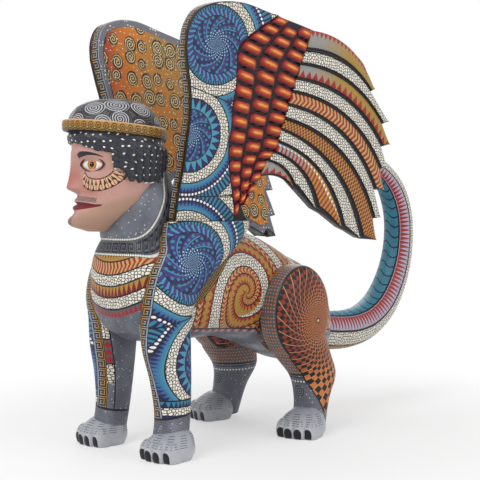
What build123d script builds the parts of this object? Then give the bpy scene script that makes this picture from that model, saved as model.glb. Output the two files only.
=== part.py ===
from build123d import *
from math import cos, sin, radians, atan2, degrees
import os

# A carved and painted figure of a winged lion with a man's head, in millimetres.
# +Z is up, the figure faces -Y, its left is +X. The floor is Z = 0 and X = 0 is
# the middle of the body. Distances along the body are measured back from the
# line of the front toes, so a list entry "back" is turned into Y by y_at().

# Driving sizes
toe_line = -169.7        # Y of the front toes' line
body_half_width = 48.0   # widest half width of the trunk
shoulder_top = 186.0     # height where the wings stand on the shoulders
wing_lean = 7.5          # degrees each wing leans outward
wing_splay = 7.0         # degrees each wing opens outward to the rear
wing_thickness = 11.0
wing_foot_x = 44.2       # outer face of a wing at its front lower corner
wing_foot_back = 18.8
fore_paw_x = 42.0
hind_paw_x = 57.0
head_turn = -28.0        # degrees, to the figure's right
neck_pivot = 16.0        # back from the toe line
tail_root = 232.0        # back from the toe line
tail_radius = 18.5       # at the root
tail_root_height = 79.0

# Joinery
glue_gap = 0.02          # radial room of a glued dowel in its holes
slide_gap = 0.30         # room all round a tenon or peg that pulls out
dowel_radius = 5.0
dowel_length = 30.0
head_dowel_length = 34.0
tenon_thickness = 6.0
tenon_width = 40.0
tenon_depth = 22.0
tenon_along = 34.0       # middle of the tenon, along the board
peg_radius = 8.0
peg_reach = 26.0         # how far the tail's peg goes into the rump
peg_in_tail = 20.0
hole_end_room = 1.0      # left at the bottom of every blind hole


def y_at(back):
    return toe_line + back


# Trunk sections: back, lowest Z, highest Z, half width as a share of the widest
trunk_sections = [
    (-14, 124, 150, 0.32), (-9, 106, 168, 0.66), (4, 93, 184, 0.95),
    (26, 88, 191, 1.00), (60, 87, 189, 0.98), (100, 86, 182, 0.91),
    (140, 74, 173, 0.88), (175, 60, 157, 0.87), (205, 55, 143, 0.79),
    (222, 56, 128, 0.63), (tail_root, 59, 113, 0.46),
]
# Neck sections: Z, back, half width, half length
neck_sections = [(150, 32, 30, 32), (174, 17, 27, 29), (200, 14, 25, 26), (232, 14, 25, 27)]
# Head sections: Z, front and rear (from the pivot, along the face), half width
head_sections = [
    (180, -47, -27, 9), (186, -54, -8, 18), (198, -53, 12, 25),
    (212, -52.5, 21, 28.5), (228, -52.5, 24, 30.5), (243, -55, 25.5, 32),
    (262, -60, 26, 33), (271, -57, 23, 31), (279, -47, 13, 25), (285, -33, -1, 15),
]
# Foreleg sections: Z, X, back, half width, half length, degrees turned with the wing
foreleg_sections = [
    (4, 39, 16, 14, 14, 0), (30, 38, 21, 13.5, 14, 0), (60, 36, 22, 14, 15, 0),
    (85, 34, 20, 16, 18, 0), (105, 33, 18, 18.5, 21, 0), (125, 33.5, 20, 20, 25, 0),
    (145, 35, 31, 19.5, 32, 2), (166, 39, 48, 17, 38, 5),
    (shoulder_top, 43, 57, 14.5, 43, wing_splay), (shoulder_top + 12, 44, 60, 13, 43, wing_splay),
]
# Hind leg below the haunch, in the same way
shank_sections = [
    (4, 54, 164, 14, 15, 0), (30, 51.5, 172, 14.5, 16, 0), (50, 49, 176, 17, 23, 0),
    (68, 47, 166, 19, 28, 0), (92, 45, 157, 17, 29, 0),
]
# Haunch sections: X, half length, half height
haunch_sections = [(26, 30, 37), (38, 34, 41), (50, 35, 41.5), (58, 32.5, 39), (62, 27, 33.5)]
haunch_back = 155.0
haunch_height = 106.0
# Paw sections: Z, half width, half length, shift of the centre to the rear
paw_sections = [(0, 17, 16.5, 0), (6, 19.5, 18.8, 0), (15, 18, 17.5, 1), (23, 13, 13, 4), (26, 9, 10, 5)]
toe_sections = [(0, 4.2), (4, 6.6), (10, 6.6), (15, 3.6)]   # Z and half width of each toe
toe_stretch = 1.25
toe_spots = [(-12.6, -9.5), (-4.4, -12.3), (4.6, -12.4), (12.8, -9.4)]
# Tail centre line after the root: back, Z, radius
tail_course = [
    (256, 78.5, 18.5), (281, 78, 18.4), (306, 82.5, 18), (331, 96, 17.3),
    (350, 118, 16.4), (361, 141, 15.6), (366, 167, 15), (364.5, 191, 14.6),
    (356, 212, 13.8), (341, 229, 12), (322, 240, 9.5), (304, 245, 6.5),
]
# Wing outline on its own board: distance along it to the rear and up it, from the
# front lower corner. Front edge, top edge, then feather tips with the notches between
wing_front = [(0, 0), (1.5, 23), (4, 42), (6, 66), (7, 86), (5.5, 103), (1.5, 120), (-2, 138)]
wing_top = [
    (-2, 138), (-0.5, 152), (7.5, 166), (25, 174), (47, 176.5), (81, 171), (123.5, 163),
    (164, 152.5), (189, 139.5), (204, 118),
]
wing_tips = [
    (204, 118), (201, 114.5), (226, 89.5), (218.5, 86.5), (230, 69), (220, 66),
    (229.5, 48.5), (221, 45.5), (227.5, 27.5), (216, 27), (227, 2), (218, 0.5),
    (224, -19), (211, -11.5), (204, -17.5), (189.5, -11), (180, -7.5), (159, 4.5),
    (147, 9.5), (114, 35), (98, 41), (83, 38.5), (71, 29), (66.5, 13), (74, 0),
]
band_height = 255.0      # Z of the headband's lower edge at the pivot
band_tilt = 5.0          # degrees, its front higher
band_deep = 9.0
band_centre = -17.5
band_half_length = 43.5
band_half_width = 34.5
nose_outline = [(-47, 240), (-52.5, 239), (-58.5, 215), (-58.5, 211), (-54, 206.5), (-46, 206)]
nose_half_width = 6.0
fore_paw_back = 14.5
hind_paw_back = 154.0

# Glue face of a shoulder: through two heights, leaning with the wing
glue_low = (13.0, 88.0)
glue_high = (26.5, 188.0)
glue_lean = degrees(atan2(glue_high[0] - glue_low[0], glue_high[1] - glue_low[1]))
shoulder_notch = [(-60, -40), (-60, 140), (106, 140), (106, 92), (43, 22), (43, -40)]
haunch_glue_x = 26.0
pocket_half_length = 36.0
pocket_half_height = 42.5
pocket_foot = [(-34, 0), (34, 0), (42, -30), (42, -75), (-30, -75), (-30, -30)]


def side_plane(point_x, point_z, lean, side):
    """Plane facing outward on one side, local x to the rear and local y up."""
    tilt = radians(lean)
    out = (side * cos(tilt), 0, -sin(tilt))
    return Plane(origin=(side * point_x, 0, point_z), x_dir=(0, side, 0), z_dir=out)


def head_plane(z):
    turn = radians(head_turn)
    return Plane(origin=(0, y_at(neck_pivot), z), x_dir=(cos(turn), sin(turn), 0), z_dir=(0, 0, 1))


def neck_joint_plane():
    """The slanting face between neck and head, its normal upward and forward."""
    turn = radians(head_turn)
    slant = radians(30.5)
    forward = (sin(turn), -cos(turn))
    normal = (sin(slant) * forward[0], sin(slant) * forward[1], cos(slant))
    origin = (-4 * -forward[0], y_at(neck_pivot) - 4 * -forward[1], 197.5)
    return Plane(origin=origin, x_dir=(cos(turn), sin(turn), 0), z_dir=normal)


def ellipse_on(plane, half_width, half_length, spot=(0, 0)):
    with BuildSketch(plane) as drawn:
        with Locations(spot):
            Ellipse(half_width, half_length)
    return drawn.sketch


def stack(rows, side):
    """Loft level ellipses: Z, X, back, half width, half length, turn."""
    levels = []
    for z, x, back, half_width, half_length, turn in rows:
        spot = (side * x, y_at(back), z)
        angle = radians(-side * turn)
        level = Plane(origin=spot, x_dir=(cos(angle), sin(angle), 0), z_dir=(0, 0, 1))
        levels.append(ellipse_on(level, half_width, half_length))
    loft(sections=levels)


def paw(x, back, turn, side):
    """A rounded paw with four toes, its toes turned outward by turn degrees."""
    angle = radians(side * turn)
    place = Plane(origin=(side * x, y_at(back), 0), x_dir=(cos(angle), sin(angle), 0))
    levels = []
    for z, half_width, half_length, shift in paw_sections:
        levels.append(ellipse_on(place.offset(z), half_width, half_length, (0, shift)))
    loft(sections=levels)
    for toe_x, toe_y in toe_spots:
        rings = []
        for z, radius in toe_sections:
            rings.append(ellipse_on(place.offset(z), radius, radius * toe_stretch, (toe_x, toe_y)))
        loft(sections=rings)


def dowel_spot(plane, reach):
    return Plane(origin=plane.origin - plane.z_dir * (reach / 2), z_dir=plane.z_dir)


def drill(plane, reach, radius, gap):
    """Blind hole along the plane's normal, open on both sides of the plane."""
    with BuildSketch(dowel_spot(plane, reach + 2 * hole_end_room)) as mouth:
        Circle(radius + gap)
    extrude(mouth.sketch, amount=reach + 2 * hole_end_room, mode=Mode.SUBTRACT)


def block(plane, wide, tall, amount, mode):
    """A plain block standing on a plane, to cut with or to keep."""
    with BuildSketch(plane) as drawn:
        Rectangle(wide, tall)
    extrude(drawn.sketch, amount=amount, mode=mode)


# Places of the hidden dowels
def foreleg_dowel_plane(side):
    glue = side_plane(glue_low[0], glue_low[1], glue_lean, side)
    spot = glue.from_local_coords((side * y_at(30), 50, 0))
    return Plane(origin=spot, z_dir=glue.z_dir)


def hind_dowel_plane(side):
    spot = (side * haunch_glue_x, y_at(haunch_back), haunch_height + 2)
    return Plane(origin=spot, z_dir=(side, 0, 0))


def tail_plane():
    return Plane(origin=(0, y_at(tail_root), tail_root_height), x_dir=(-1, 0, 0), z_dir=(0, 1, 0))


def wing_plane(side):
    """Outer face of a wing's board, its origin at the front lower corner."""
    lean = radians(wing_lean)
    splay = radians(wing_splay)
    out = (side * cos(splay) * cos(lean), -sin(splay) * cos(lean), -sin(lean))
    corner = (side * wing_foot_x, y_at(wing_foot_back), shoulder_top)
    return Plane(origin=corner, x_dir=(sin(splay), side * cos(splay), 0), z_dir=out)


def foot_plane(side):
    """Level with the board's foot, centred in its thickness, facing up the board."""
    wing = wing_plane(side)
    spot = wing.from_local_coords((side * tenon_along, 0, -wing_thickness / 2))
    return Plane(origin=spot, x_dir=wing.x_dir, z_dir=wing.y_dir)


def trunk_mass():
    """The whole trunk and neck before any piece is cut out of it."""
    slices = []
    for back, low, high, share in trunk_sections:
        middle = Plane(origin=(0, y_at(back), (low + high) / 2), x_dir=(1, 0, 0), z_dir=(0, 1, 0))
        slices.append(ellipse_on(middle, share * body_half_width, (high - low) / 2))
    loft(sections=slices)
    stack([(z, 0, back, wide, long, 0) for z, back, wide, long in neck_sections], 1)


def shoulder_plane(side):
    return side_plane(glue_low[0], glue_low[1], glue_lean, side)


def haunch_plane(side):
    spot = (side * haunch_glue_x, y_at(haunch_back), haunch_height)
    return Plane(origin=spot, x_dir=(0, side, 0), z_dir=(side, 0, 0))


def notch(side, mode):
    """Region of a shoulder outside its glue face."""
    with BuildSketch(shoulder_plane(side)) as drawn:
        Polygon(*[(side * y_at(back), up) for back, up in shoulder_notch], align=None)
    extrude(drawn.sketch, amount=90, mode=mode)


def pocket(side, mode):
    """Region of a haunch outside its glue face, open downward for the shank."""
    with BuildSketch(haunch_plane(side)) as drawn:
        Ellipse(pocket_half_length, pocket_half_height)
        Polygon(*[(side * back, up) for back, up in pocket_foot], align=None)
    extrude(drawn.sketch, amount=70, mode=mode)


def dowel(plane, length):
    with BuildSketch(dowel_spot(plane, length)) as drawn:
        Circle(dowel_radius)
    extrude(drawn.sketch, amount=length)


def shoulder_mortise(side):
    """Slot for a wing's tenon, with sliding room all round and below."""
    with BuildSketch(foot_plane(side)) as drawn:
        Rectangle(tenon_width + 2 * slide_gap, tenon_thickness + 2 * slide_gap)
    extrude(drawn.sketch, amount=-(tenon_depth + hole_end_room), mode=Mode.SUBTRACT)


def make_foreleg(side):
    with BuildPart() as leg:
        trunk_mass()
        notch(side, Mode.INTERSECT)
        stack(foreleg_sections, side)
        paw(fore_paw_x, fore_paw_back, 4, side)
        inward = shoulder_plane(side)
        block(inward, 900, 900, -400, Mode.SUBTRACT)
        block(foot_plane(side), 900, 900, 400, Mode.SUBTRACT)
        shoulder_mortise(side)
        drill(foreleg_dowel_plane(side), dowel_length, dowel_radius, glue_gap)
    return leg


def make_hind_leg(side):
    with BuildPart() as leg:
        trunk_mass()
        pocket(side, Mode.INTERSECT)
        slices = []
        for x, half_length, half_height in haunch_sections:
            place = haunch_plane(side).offset(x - haunch_glue_x)
            slices.append(ellipse_on(place, half_length, half_height))
        loft(sections=slices)
        stack(shank_sections, side)
        paw(hind_paw_x, hind_paw_back, 16, side)
        drill(hind_dowel_plane(side), dowel_length, dowel_radius, glue_gap)
    return leg


def make_wing(side):
    with BuildPart() as wing:
        with BuildSketch(wing_plane(side)):
            with BuildLine():
                Spline(*wing_front)
                Spline(*wing_top)
                Polyline(*wing_tips)
                Line(wing_tips[-1], wing_front[0])
            make_face()
        extrude(amount=-wing_thickness)
        with BuildSketch(foot_plane(side)):
            Rectangle(tenon_width, tenon_thickness)
        extrude(amount=-tenon_depth)
    return wing


# Trunk
with BuildPart() as torso:
    trunk_mass()
    block(neck_joint_plane(), 900, 900, 400, Mode.SUBTRACT)
    for side in (1, -1):
        notch(side, Mode.SUBTRACT)
        drill(foreleg_dowel_plane(side), dowel_length, dowel_radius, glue_gap)
        pocket(side, Mode.SUBTRACT)
        drill(hind_dowel_plane(side), dowel_length, dowel_radius, glue_gap)
    drill(neck_joint_plane(), head_dowel_length, dowel_radius, glue_gap)
    with BuildSketch(tail_plane()):
        Circle(peg_radius + slide_gap)
    extrude(amount=-(peg_reach + hole_end_room), mode=Mode.SUBTRACT)

# Head, with a raised band and a nose
with BuildPart() as head:
    levels = []
    for z, front, rear, half_width in head_sections:
        centre = (0, (front + rear) / 2)
        levels.append(ellipse_on(head_plane(z), half_width, (rear - front) / 2, centre))
    loft(sections=levels)
    band_foot = head_plane(band_height).rotated((band_tilt, 0, 0))
    with BuildSketch(band_foot):
        with Locations((0, band_centre)):
            Ellipse(band_half_width, band_half_length)
    extrude(amount=band_deep)
    side_view = head_plane(0)
    with BuildSketch(Plane(origin=side_view.origin, x_dir=side_view.y_dir, z_dir=side_view.x_dir)):
        Polygon(*nose_outline, align=None)
    extrude(amount=nose_half_width, both=True)
    block(neck_joint_plane(), 900, 900, -400, Mode.SUBTRACT)
    drill(neck_joint_plane(), head_dowel_length, dowel_radius, glue_gap)

with BuildPart() as head_dowel:
    dowel(neck_joint_plane(), head_dowel_length)

# Legs with their hidden dowels
foreleg_left = make_foreleg(1)
hind_leg_left = make_hind_leg(1)
with BuildPart() as foreleg_right:
    add(mirror(foreleg_left.part, about=Plane.YZ))
with BuildPart() as hind_leg_right:
    add(mirror(hind_leg_left.part, about=Plane.YZ))
with BuildPart() as foreleg_dowel_left:
    dowel(foreleg_dowel_plane(1), dowel_length)
with BuildPart() as foreleg_dowel_right:
    dowel(foreleg_dowel_plane(-1), dowel_length)
with BuildPart() as hind_leg_dowel_left:
    dowel(hind_dowel_plane(1), dowel_length)
with BuildPart() as hind_leg_dowel_right:
    dowel(hind_dowel_plane(-1), dowel_length)

# Wings, each with the tenon that stands in a shoulder
wing_left = make_wing(1)
with BuildPart() as wing_right:
    add(mirror(wing_left.part, about=Plane.YZ))

# Tail and the peg glued in its root
with BuildPart() as tail:
    rings = [ellipse_on(tail_plane(), tail_radius, tail_radius)]
    path = [(tail_root, tail_root_height, tail_radius)] + tail_course
    for index in range(1, len(path)):
        before = path[index - 1]
        after = path[min(index + 1, len(path) - 1)]
        along = (0, after[0] - before[0], after[1] - before[1])
        spot = (0, y_at(path[index][0]), path[index][1])
        ring = Plane(origin=spot, x_dir=(-1, 0, 0), z_dir=along)
        rings.append(ellipse_on(ring, path[index][2], path[index][2]))
    loft(sections=rings)
    with BuildSketch(tail_plane()):
        Circle(peg_radius + glue_gap)
    extrude(amount=peg_in_tail + hole_end_room, mode=Mode.SUBTRACT)

with BuildPart() as tail_peg:
    with BuildSketch(tail_plane().offset(-peg_reach)):
        Circle(peg_radius)
    extrude(amount=peg_reach + peg_in_tail)

pieces = {
    "torso": torso, "head": head, "head_dowel": head_dowel,
    "foreleg_left": foreleg_left, "foreleg_right": foreleg_right,
    "foreleg_dowel_left": foreleg_dowel_left, "foreleg_dowel_right": foreleg_dowel_right,
    "hind_leg_left": hind_leg_left, "hind_leg_right": hind_leg_right,
    "hind_leg_dowel_left": hind_leg_dowel_left, "hind_leg_dowel_right": hind_leg_dowel_right,
    "wing_left": wing_left, "wing_right": wing_right, "tail": tail, "tail_peg": tail_peg,
}
os.makedirs("parts", exist_ok=True)
for label, name in pieces.items():
    name.part.label = label
    export_step(name.part, "parts/" + label + ".step")
    print(label, len(name.part.solids()), round(name.part.volume), name.part.bounding_box())
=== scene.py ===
import math

import bpy
import numpy as np
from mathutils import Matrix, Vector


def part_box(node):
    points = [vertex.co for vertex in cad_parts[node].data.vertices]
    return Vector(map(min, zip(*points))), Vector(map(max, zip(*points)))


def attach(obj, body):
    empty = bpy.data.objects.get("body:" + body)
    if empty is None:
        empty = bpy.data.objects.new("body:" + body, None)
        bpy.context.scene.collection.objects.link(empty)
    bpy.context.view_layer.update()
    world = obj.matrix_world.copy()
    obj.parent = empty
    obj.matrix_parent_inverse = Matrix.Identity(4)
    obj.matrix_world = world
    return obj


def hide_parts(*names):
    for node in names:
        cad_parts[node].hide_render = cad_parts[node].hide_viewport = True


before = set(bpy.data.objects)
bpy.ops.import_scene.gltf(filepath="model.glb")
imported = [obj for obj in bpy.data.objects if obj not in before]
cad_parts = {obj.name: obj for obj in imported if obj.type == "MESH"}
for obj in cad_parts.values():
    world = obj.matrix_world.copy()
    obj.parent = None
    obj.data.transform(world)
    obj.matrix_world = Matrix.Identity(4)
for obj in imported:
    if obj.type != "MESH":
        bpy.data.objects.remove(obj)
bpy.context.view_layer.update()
print("frame loaded")

# all sizes below are millimetres, turned to metres when a mesh is made
metre = 0.001
torsoLow = np.array(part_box("torso")[0]) / metre
toeLine = torsoLow[1] + 14.0  # the trunk starts this far in front of the toes


# a smooth curve through chosen values: cubic between knots, slopes from their neighbours
def smoothThrough(knots, values, at):
    knots = np.asarray(knots, float)
    values = np.asarray(values, float)
    slopes = np.gradient(values, knots, axis=0)
    span = np.clip(np.searchsorted(knots, at, side="right") - 1, 0, len(knots) - 2)
    width = knots[span + 1] - knots[span]
    share = (at - knots[span]) / width
    if values.ndim > 1:
        share = share[:, None]
        width = width[:, None]
    near = (1 + 2 * share) * (1 - share) ** 2
    far = share ** 2 * (3 - 2 * share)
    leave = share * (1 - share) ** 2 * width
    arrive = share ** 2 * (share - 1) * width
    return near * values[span] + far * values[span + 1] + leave * slopes[span] + arrive * slopes[span + 1]


# rises from 0 to 1 between two limits without a corner
def ease(low, high, value):
    share = np.clip((value - low) / (high - low), 0, 1)
    return share * share * (3 - 2 * share)


# a bell of height 1 at the middle
def bell(value, middle, spread):
    return np.exp(-((value - middle) / spread) ** 2)


# puts a grid of points (rows, columns, 3) into a mesh that closes round each row and at a pole past each end;
# the guide grid has one column more, so the seam has its own values on each side
def putSurface(name, grid, guide, material):
    rows, columns = grid.shape[:2]
    index = np.arange(rows * columns).reshape(rows, columns)
    after = np.roll(index, -1, axis=1)
    quads = np.stack([index[:-1], after[:-1], after[1:], index[1:]], -1)
    seam = np.arange(rows * (columns + 1)).reshape(rows, columns + 1)
    seamQuads = np.stack([seam[:-1, :-1], seam[:-1, 1:], seam[1:, 1:], seam[1:, :-1]], -1)
    points = np.vstack([grid.reshape(-1, 3), grid[0].mean(0), grid[-1].mean(0)])
    guides = np.vstack([guide.reshape(-1, 2), guide[0].mean(0), guide[-1].mean(0)])
    pole, guidePole = index.size, seam.size
    here = np.arange(columns)
    nextOne = (here + 1) % columns
    last, lastGuide = index[-1, 0], seam[-1, 0]
    faces = quads.reshape(-1, 4).tolist()
    faces += np.stack([nextOne, here, np.full(columns, pole)], -1).tolist()
    faces += np.stack([last + here, last + nextOne, np.full(columns, pole + 1)], -1).tolist()
    corners = np.concatenate([
        seamQuads.ravel(), np.stack([here + 1, here, np.full(columns, guidePole)], -1).ravel(),
        np.stack([lastGuide + here, lastGuide + here + 1, np.full(columns, guidePole + 1)], -1).ravel()])
    return putClosed(name, points, faces, guides[corners], [material])


# the volume inside a closed set of faces, negative where they point inwards
def signedVolume(points, faces):
    fans = np.array([(face[0], face[i], face[i + 1]) for face in faces for i in range(1, len(face) - 1)])
    a, b, c = points[fans[:, 0]], points[fans[:, 1]], points[fans[:, 2]]
    middle = points.mean(0)
    return float(np.einsum("ij,ij->i", a - middle, np.cross(b - middle, c - middle)).sum())


# a closed mesh whose faces, and the guide values at their corners, are turned round if they point inwards
def putClosed(name, points, faces, cornerGuides, materials, kinds=None):
    if signedVolume(points, faces) < 0:
        ends = np.cumsum([len(face) for face in faces])[:-1]
        faces = [face[::-1] for face in faces]
        cornerGuides = np.concatenate([part[::-1] for part in np.split(cornerGuides, ends)])
    return putMesh(name, points, faces, cornerGuides, materials, kinds)


# a mesh object: points in millimetres, guide values by face corner, and each face's material by number
def putMesh(name, points, faces, cornerGuides, materials, kinds=None):
    mesh = bpy.data.meshes.new(name)
    mesh.from_pydata((np.asarray(points) * metre).tolist(), [], faces)
    layer = mesh.uv_layers.new(name="guide")
    layer.data.foreach_set("uv", np.asarray(cornerGuides, float).ravel())
    for each in materials:
        mesh.materials.append(each)
    if kinds is not None:
        mesh.polygons.foreach_set("material_index", kinds)
    mesh.polygons.foreach_set("use_smooth", [True] * len(faces))
    mesh.update()
    piece = bpy.data.objects.new(name, mesh)
    bpy.context.scene.collection.objects.link(piece)
    return piece


# a closed ring: rows go round a loop and columns round its section
def putRing(name, grid, material, cornerGuides=None):
    rows, columns = grid.shape[:2]
    index = np.arange(rows * columns).reshape(rows, columns)
    ahead = np.roll(index, -1, axis=0)
    faces = np.stack([index, np.roll(index, -1, axis=1), np.roll(ahead, -1, axis=1), ahead], -1)
    faces = faces.reshape(-1, 4)
    if cornerGuides is None:
        cornerGuides = np.zeros((faces.size, 2))
    return putClosed(name, grid.reshape(-1, 3), faces.tolist(), cornerGuides, [material])


# joins grids that share one material into one piece, so a row of tiles is one object
def putMany(name, grids, guides, material):
    allPoints, allFaces, allGuides = [], [], []
    start = 0
    for grid, guide in zip(grids, guides):
        part = putSurface(name + "Part", grid, guide, None)
        mesh = part.data
        points = np.zeros(len(mesh.vertices) * 3)
        mesh.vertices.foreach_get("co", points)
        corner = np.zeros(len(mesh.loops) * 2)
        mesh.uv_layers[0].data.foreach_get("uv", corner)
        allPoints.append(points.reshape(-1, 3) / metre)
        allFaces += [[start + v for v in face.vertices] for face in mesh.polygons]
        allGuides.append(corner.reshape(-1, 2))
        start += len(mesh.vertices)
        bpy.data.objects.remove(part)
        bpy.data.meshes.remove(mesh)
    return putMesh(name, np.vstack(allPoints), allFaces, np.vstack(allGuides), [material])


# a power that keeps the sign of what it is raised from
def signedPower(value, power):
    return np.sign(value) * np.abs(value) ** power


# the columns of a table, each as an array
def columnsOf(table):
    return [np.array(column, float) for column in zip(*table)]


# how far along a line each of its points lies
def runAlong(line):
    return np.concatenate([[0], np.cumsum(np.linalg.norm(np.diff(line, axis=0), axis=1))])


# one turn round an oval: angle 0 faces the front, a quarter turn faces the near side
def ovalTurn(count, squareness=2.3, first=0.0):
    turn = (np.arange(count) / count + first) * 2 * np.pi
    return signedPower(np.sin(turn), 2 / squareness), signedPower(np.cos(turn), 2 / squareness)


# a guide grid: how far round (0 to 1) and how far along (mm)
def roundGuide(columns, along):
    turns = np.linspace(0, 1, columns + 1)
    return np.stack(np.broadcast_arrays(turns[None, :], np.asarray(along)[:, None]), -1)


# the same points on the other side: x changes sign
def mirrored(grid):
    return grid * np.array([-1.0, 1.0, 1.0])


# a visible piece: the body that carries it, and the node that it stands for
def claim(piece, body, node):
    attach(piece, body)
    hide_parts(node)
    return piece


current = {"tree": None}


# a number that varies over the surface, held as a node socket, with ordinary arithmetic
class Field:
    def __init__(self, socket):
        self.socket = socket

    __add__ = lambda self, other: calc("ADD", self, other)
    __radd__ = lambda self, other: calc("ADD", other, self)
    __sub__ = lambda self, other: calc("SUBTRACT", self, other)
    __rsub__ = lambda self, other: calc("SUBTRACT", other, self)
    __mul__ = lambda self, other: calc("MULTIPLY", self, other)
    __rmul__ = lambda self, other: calc("MULTIPLY", other, self)
    __truediv__ = lambda self, other: calc("DIVIDE", self, other)
    __lt__ = lambda self, other: calc("LESS_THAN", self, other)
    __gt__ = lambda self, other: calc("GREATER_THAN", self, other)


# a node's input takes a field by a link, and anything else as its own value
def feed(slot, value):
    if isinstance(value, Field):
        current["tree"].links.new(value.socket, slot)
    else:
        slot.default_value = value


# one step of arithmetic on fields and numbers
def calc(operation, *values):
    node = current["tree"].nodes.new("ShaderNodeMath")
    node.operation = operation
    for slot, value in zip(node.inputs, values):
        feed(slot, value)
    return Field(node.outputs[0])


# the part after the point: 0 to 1, over and over
def fraction(value):
    return calc("FRACT", value)


# how far from nought
def size(value):
    return calc("ABSOLUTE", value)


# the long side of a right triangle
def length(a, b):
    return calc("SQRT", a * a + b * b)


# the angle of a direction, b up and a along
def angleOf(b, a):
    return calc("ARCTAN2", b, a)


# one where every mask is one: their product
def both(first, *others):
    for other in others:
        first = calc("MULTIPLY", first, other)
    return first


# one where any mask is one: the largest of them
def either(first, *others):
    for other in others:
        first = calc("MAXIMUM", first, other)
    return first


# one between two limits
def within(value, low, high):
    return both(value > low, value < high)


# one where a value lies inside a band about a middle
def stripe(value, middle, half):
    return size(value - middle) < half


# lays a colour over another where a mask is one
def lay(mask, below, above):
    node = current["tree"].nodes.new("ShaderNodeMix")
    node.data_type = "RGBA"
    for slot, value in zip((node.inputs[0], node.inputs[6], node.inputs[7]), (mask, below, above)):
        feed(slot, palette[value] if isinstance(value, str) else value)
    return Field(node.outputs[2])


# a written colour as linear light: the usual screen curve undone, with full cover
def fromHex(text):
    parts = [int(text[i:i + 2], 16) / 255 for i in (0, 2, 4)]
    return (*(p / 12.92 if p <= 0.04045 else ((p + 0.055) / 1.055) ** 2.4 for p in parts), 1.0)


palette = {name: fromHex(code) for name, code in {
    "ink": "15141a", "cream": "f2ede2", "bone": "d8d1c0", "straw": "e2c88c", "white": "efece4",
    "gold": "b3873c", "ochre": "94702f", "olive": "84793f", "amber": "d68422", "orange": "cc6420",
    "flame": "f0a43c",
    "red": "9a2522", "crimson": "741a20", "wine": "450f14", "maroon": "260b10", "teal": "2f8296",
    "turquoise": "4793ac", "sky": "93c8d2", "blue": "2a4a8c", "indigo": "211d52", "navy": "171a3c",
    "violet": "3c3276", "grey": "777a85", "slate": "41444e", "ash": "989ba3",
    "smoke": "595c66", "skin": "c0948a", "blush": "a85444", "peach": "d9a983", "brown": "40231c",
    "hair": "25262e", "wood": "c79a62", "sand": "c09f63", "seablue": "37748a", "lavender": "a9a5b8",
    "umber": "2c2018", "silver": "b9bcc2", "petal": "dcb892", "copper": "c8743a", "rust": "86301f",
}.items()}


# where the surface lies in the object, in millimetres
def placeFields():
    tree = current["tree"]
    source = tree.nodes.new("ShaderNodeTexCoord")
    scaled = tree.nodes.new("ShaderNodeVectorMath")
    scaled.operation = "SCALE"
    scaled.inputs["Scale"].default_value = 1 / metre
    tree.links.new(source.outputs["Object"], scaled.inputs[0])
    place = Field(scaled.outputs[0])
    return (place, *splitFields(place))


# the piece's own guide: how far across or round, and how far along
def guideFields():
    source = current["tree"].nodes.new("ShaderNodeUVMap")
    source.uv_map = "guide"
    guide = Field(source.outputs[0])
    return (guide, *splitFields(guide)[:2])


# three numbers as one vector
def joinFields(x, y, z=0.0):
    node = current["tree"].nodes.new("ShaderNodeCombineXYZ")
    for slot, value in zip(node.inputs, (x, y, z)):
        feed(slot, value)
    return Field(node.outputs[0])


# a vector as three numbers
def splitFields(vector):
    parts = current["tree"].nodes.new("ShaderNodeSeparateXYZ")
    current["tree"].links.new(vector.socket, parts.inputs[0])
    return Field(parts.outputs[0]), Field(parts.outputs[1]), Field(parts.outputs[2])


# soft noise about a half, so many waves to a millimetre
def noise(point, scale, detail=3.0):
    node = current["tree"].nodes.new("ShaderNodeTexNoise")
    node.inputs["Scale"].default_value = scale
    node.inputs["Detail"].default_value = detail
    current["tree"].links.new(point.socket, node.inputs["Vector"])
    return Field(node.outputs[0])


# cells of about one width: how far each point is from its cell's edge, its cell's centre and its cell's tint
def cells(point, width, feature, flat=False, scatter=1.0):
    node = current["tree"].nodes.new("ShaderNodeTexVoronoi")
    node.feature = feature
    node.voronoi_dimensions = "2D" if flat else "3D"
    node.inputs["Scale"].default_value = 1 / width
    node.inputs["Randomness"].default_value = scatter
    current["tree"].links.new(point.socket, node.inputs["Vector"])
    return node


# small rounded stones with dark joints, laid out on a flat pair of coordinates
def stones(plane, width=2.5, pale="cream", dull="bone", joint="ink"):
    edge = Field(cells(plane, width, "DISTANCE_TO_EDGE", flat=True, scatter=0.75).outputs["Distance"])
    stone = lay(noise(plane, 0.5, 0.0) > 0.54, pale, dull)
    return lay(edge < 0.105, stone, joint)


# a row of pointed teeth: across runs 0 to 1, along repeats once a tooth
def teeth(along, across):
    return size(fraction(along) - 0.5) * 2.0 < 1.0 - across


# arrowheads: a repeat that leads more, the further it is from the middle of the row
def chevrons(along, across):
    return fraction(along + size(across - 0.5) * 1.2) < 0.5


# one round dot to a step, at the middle of the row
def dots(along, across, reach=0.3):
    return length(fraction(along) - 0.5, across - 0.5) < reach


# a running key: square coils, one to a step, between two rails
def keyPattern(along, across):
    x = fraction(along) - 0.5
    y = across - 0.5
    ring = calc("MAXIMUM", size(x), size(y)) * 2.0
    quarter = calc("FLOOR", angleOf(y, x) * (2 / math.pi) + 0.5) * 0.25
    coil = fraction(ring * 1.8 - quarter) < 0.4
    return either(coil, size(y) > 0.45)


# two sets of spiral arms that cross: lattice places for dots or checks
def lattice(reach, angle, arms, twist):
    rise = calc("LOGARITHM", calc("MAXIMUM", reach, 0.6), math.e)
    steps = angle * (arms / (2 * math.pi))
    return fraction(steps + rise * twist), fraction(steps - rise * twist), rise


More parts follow.
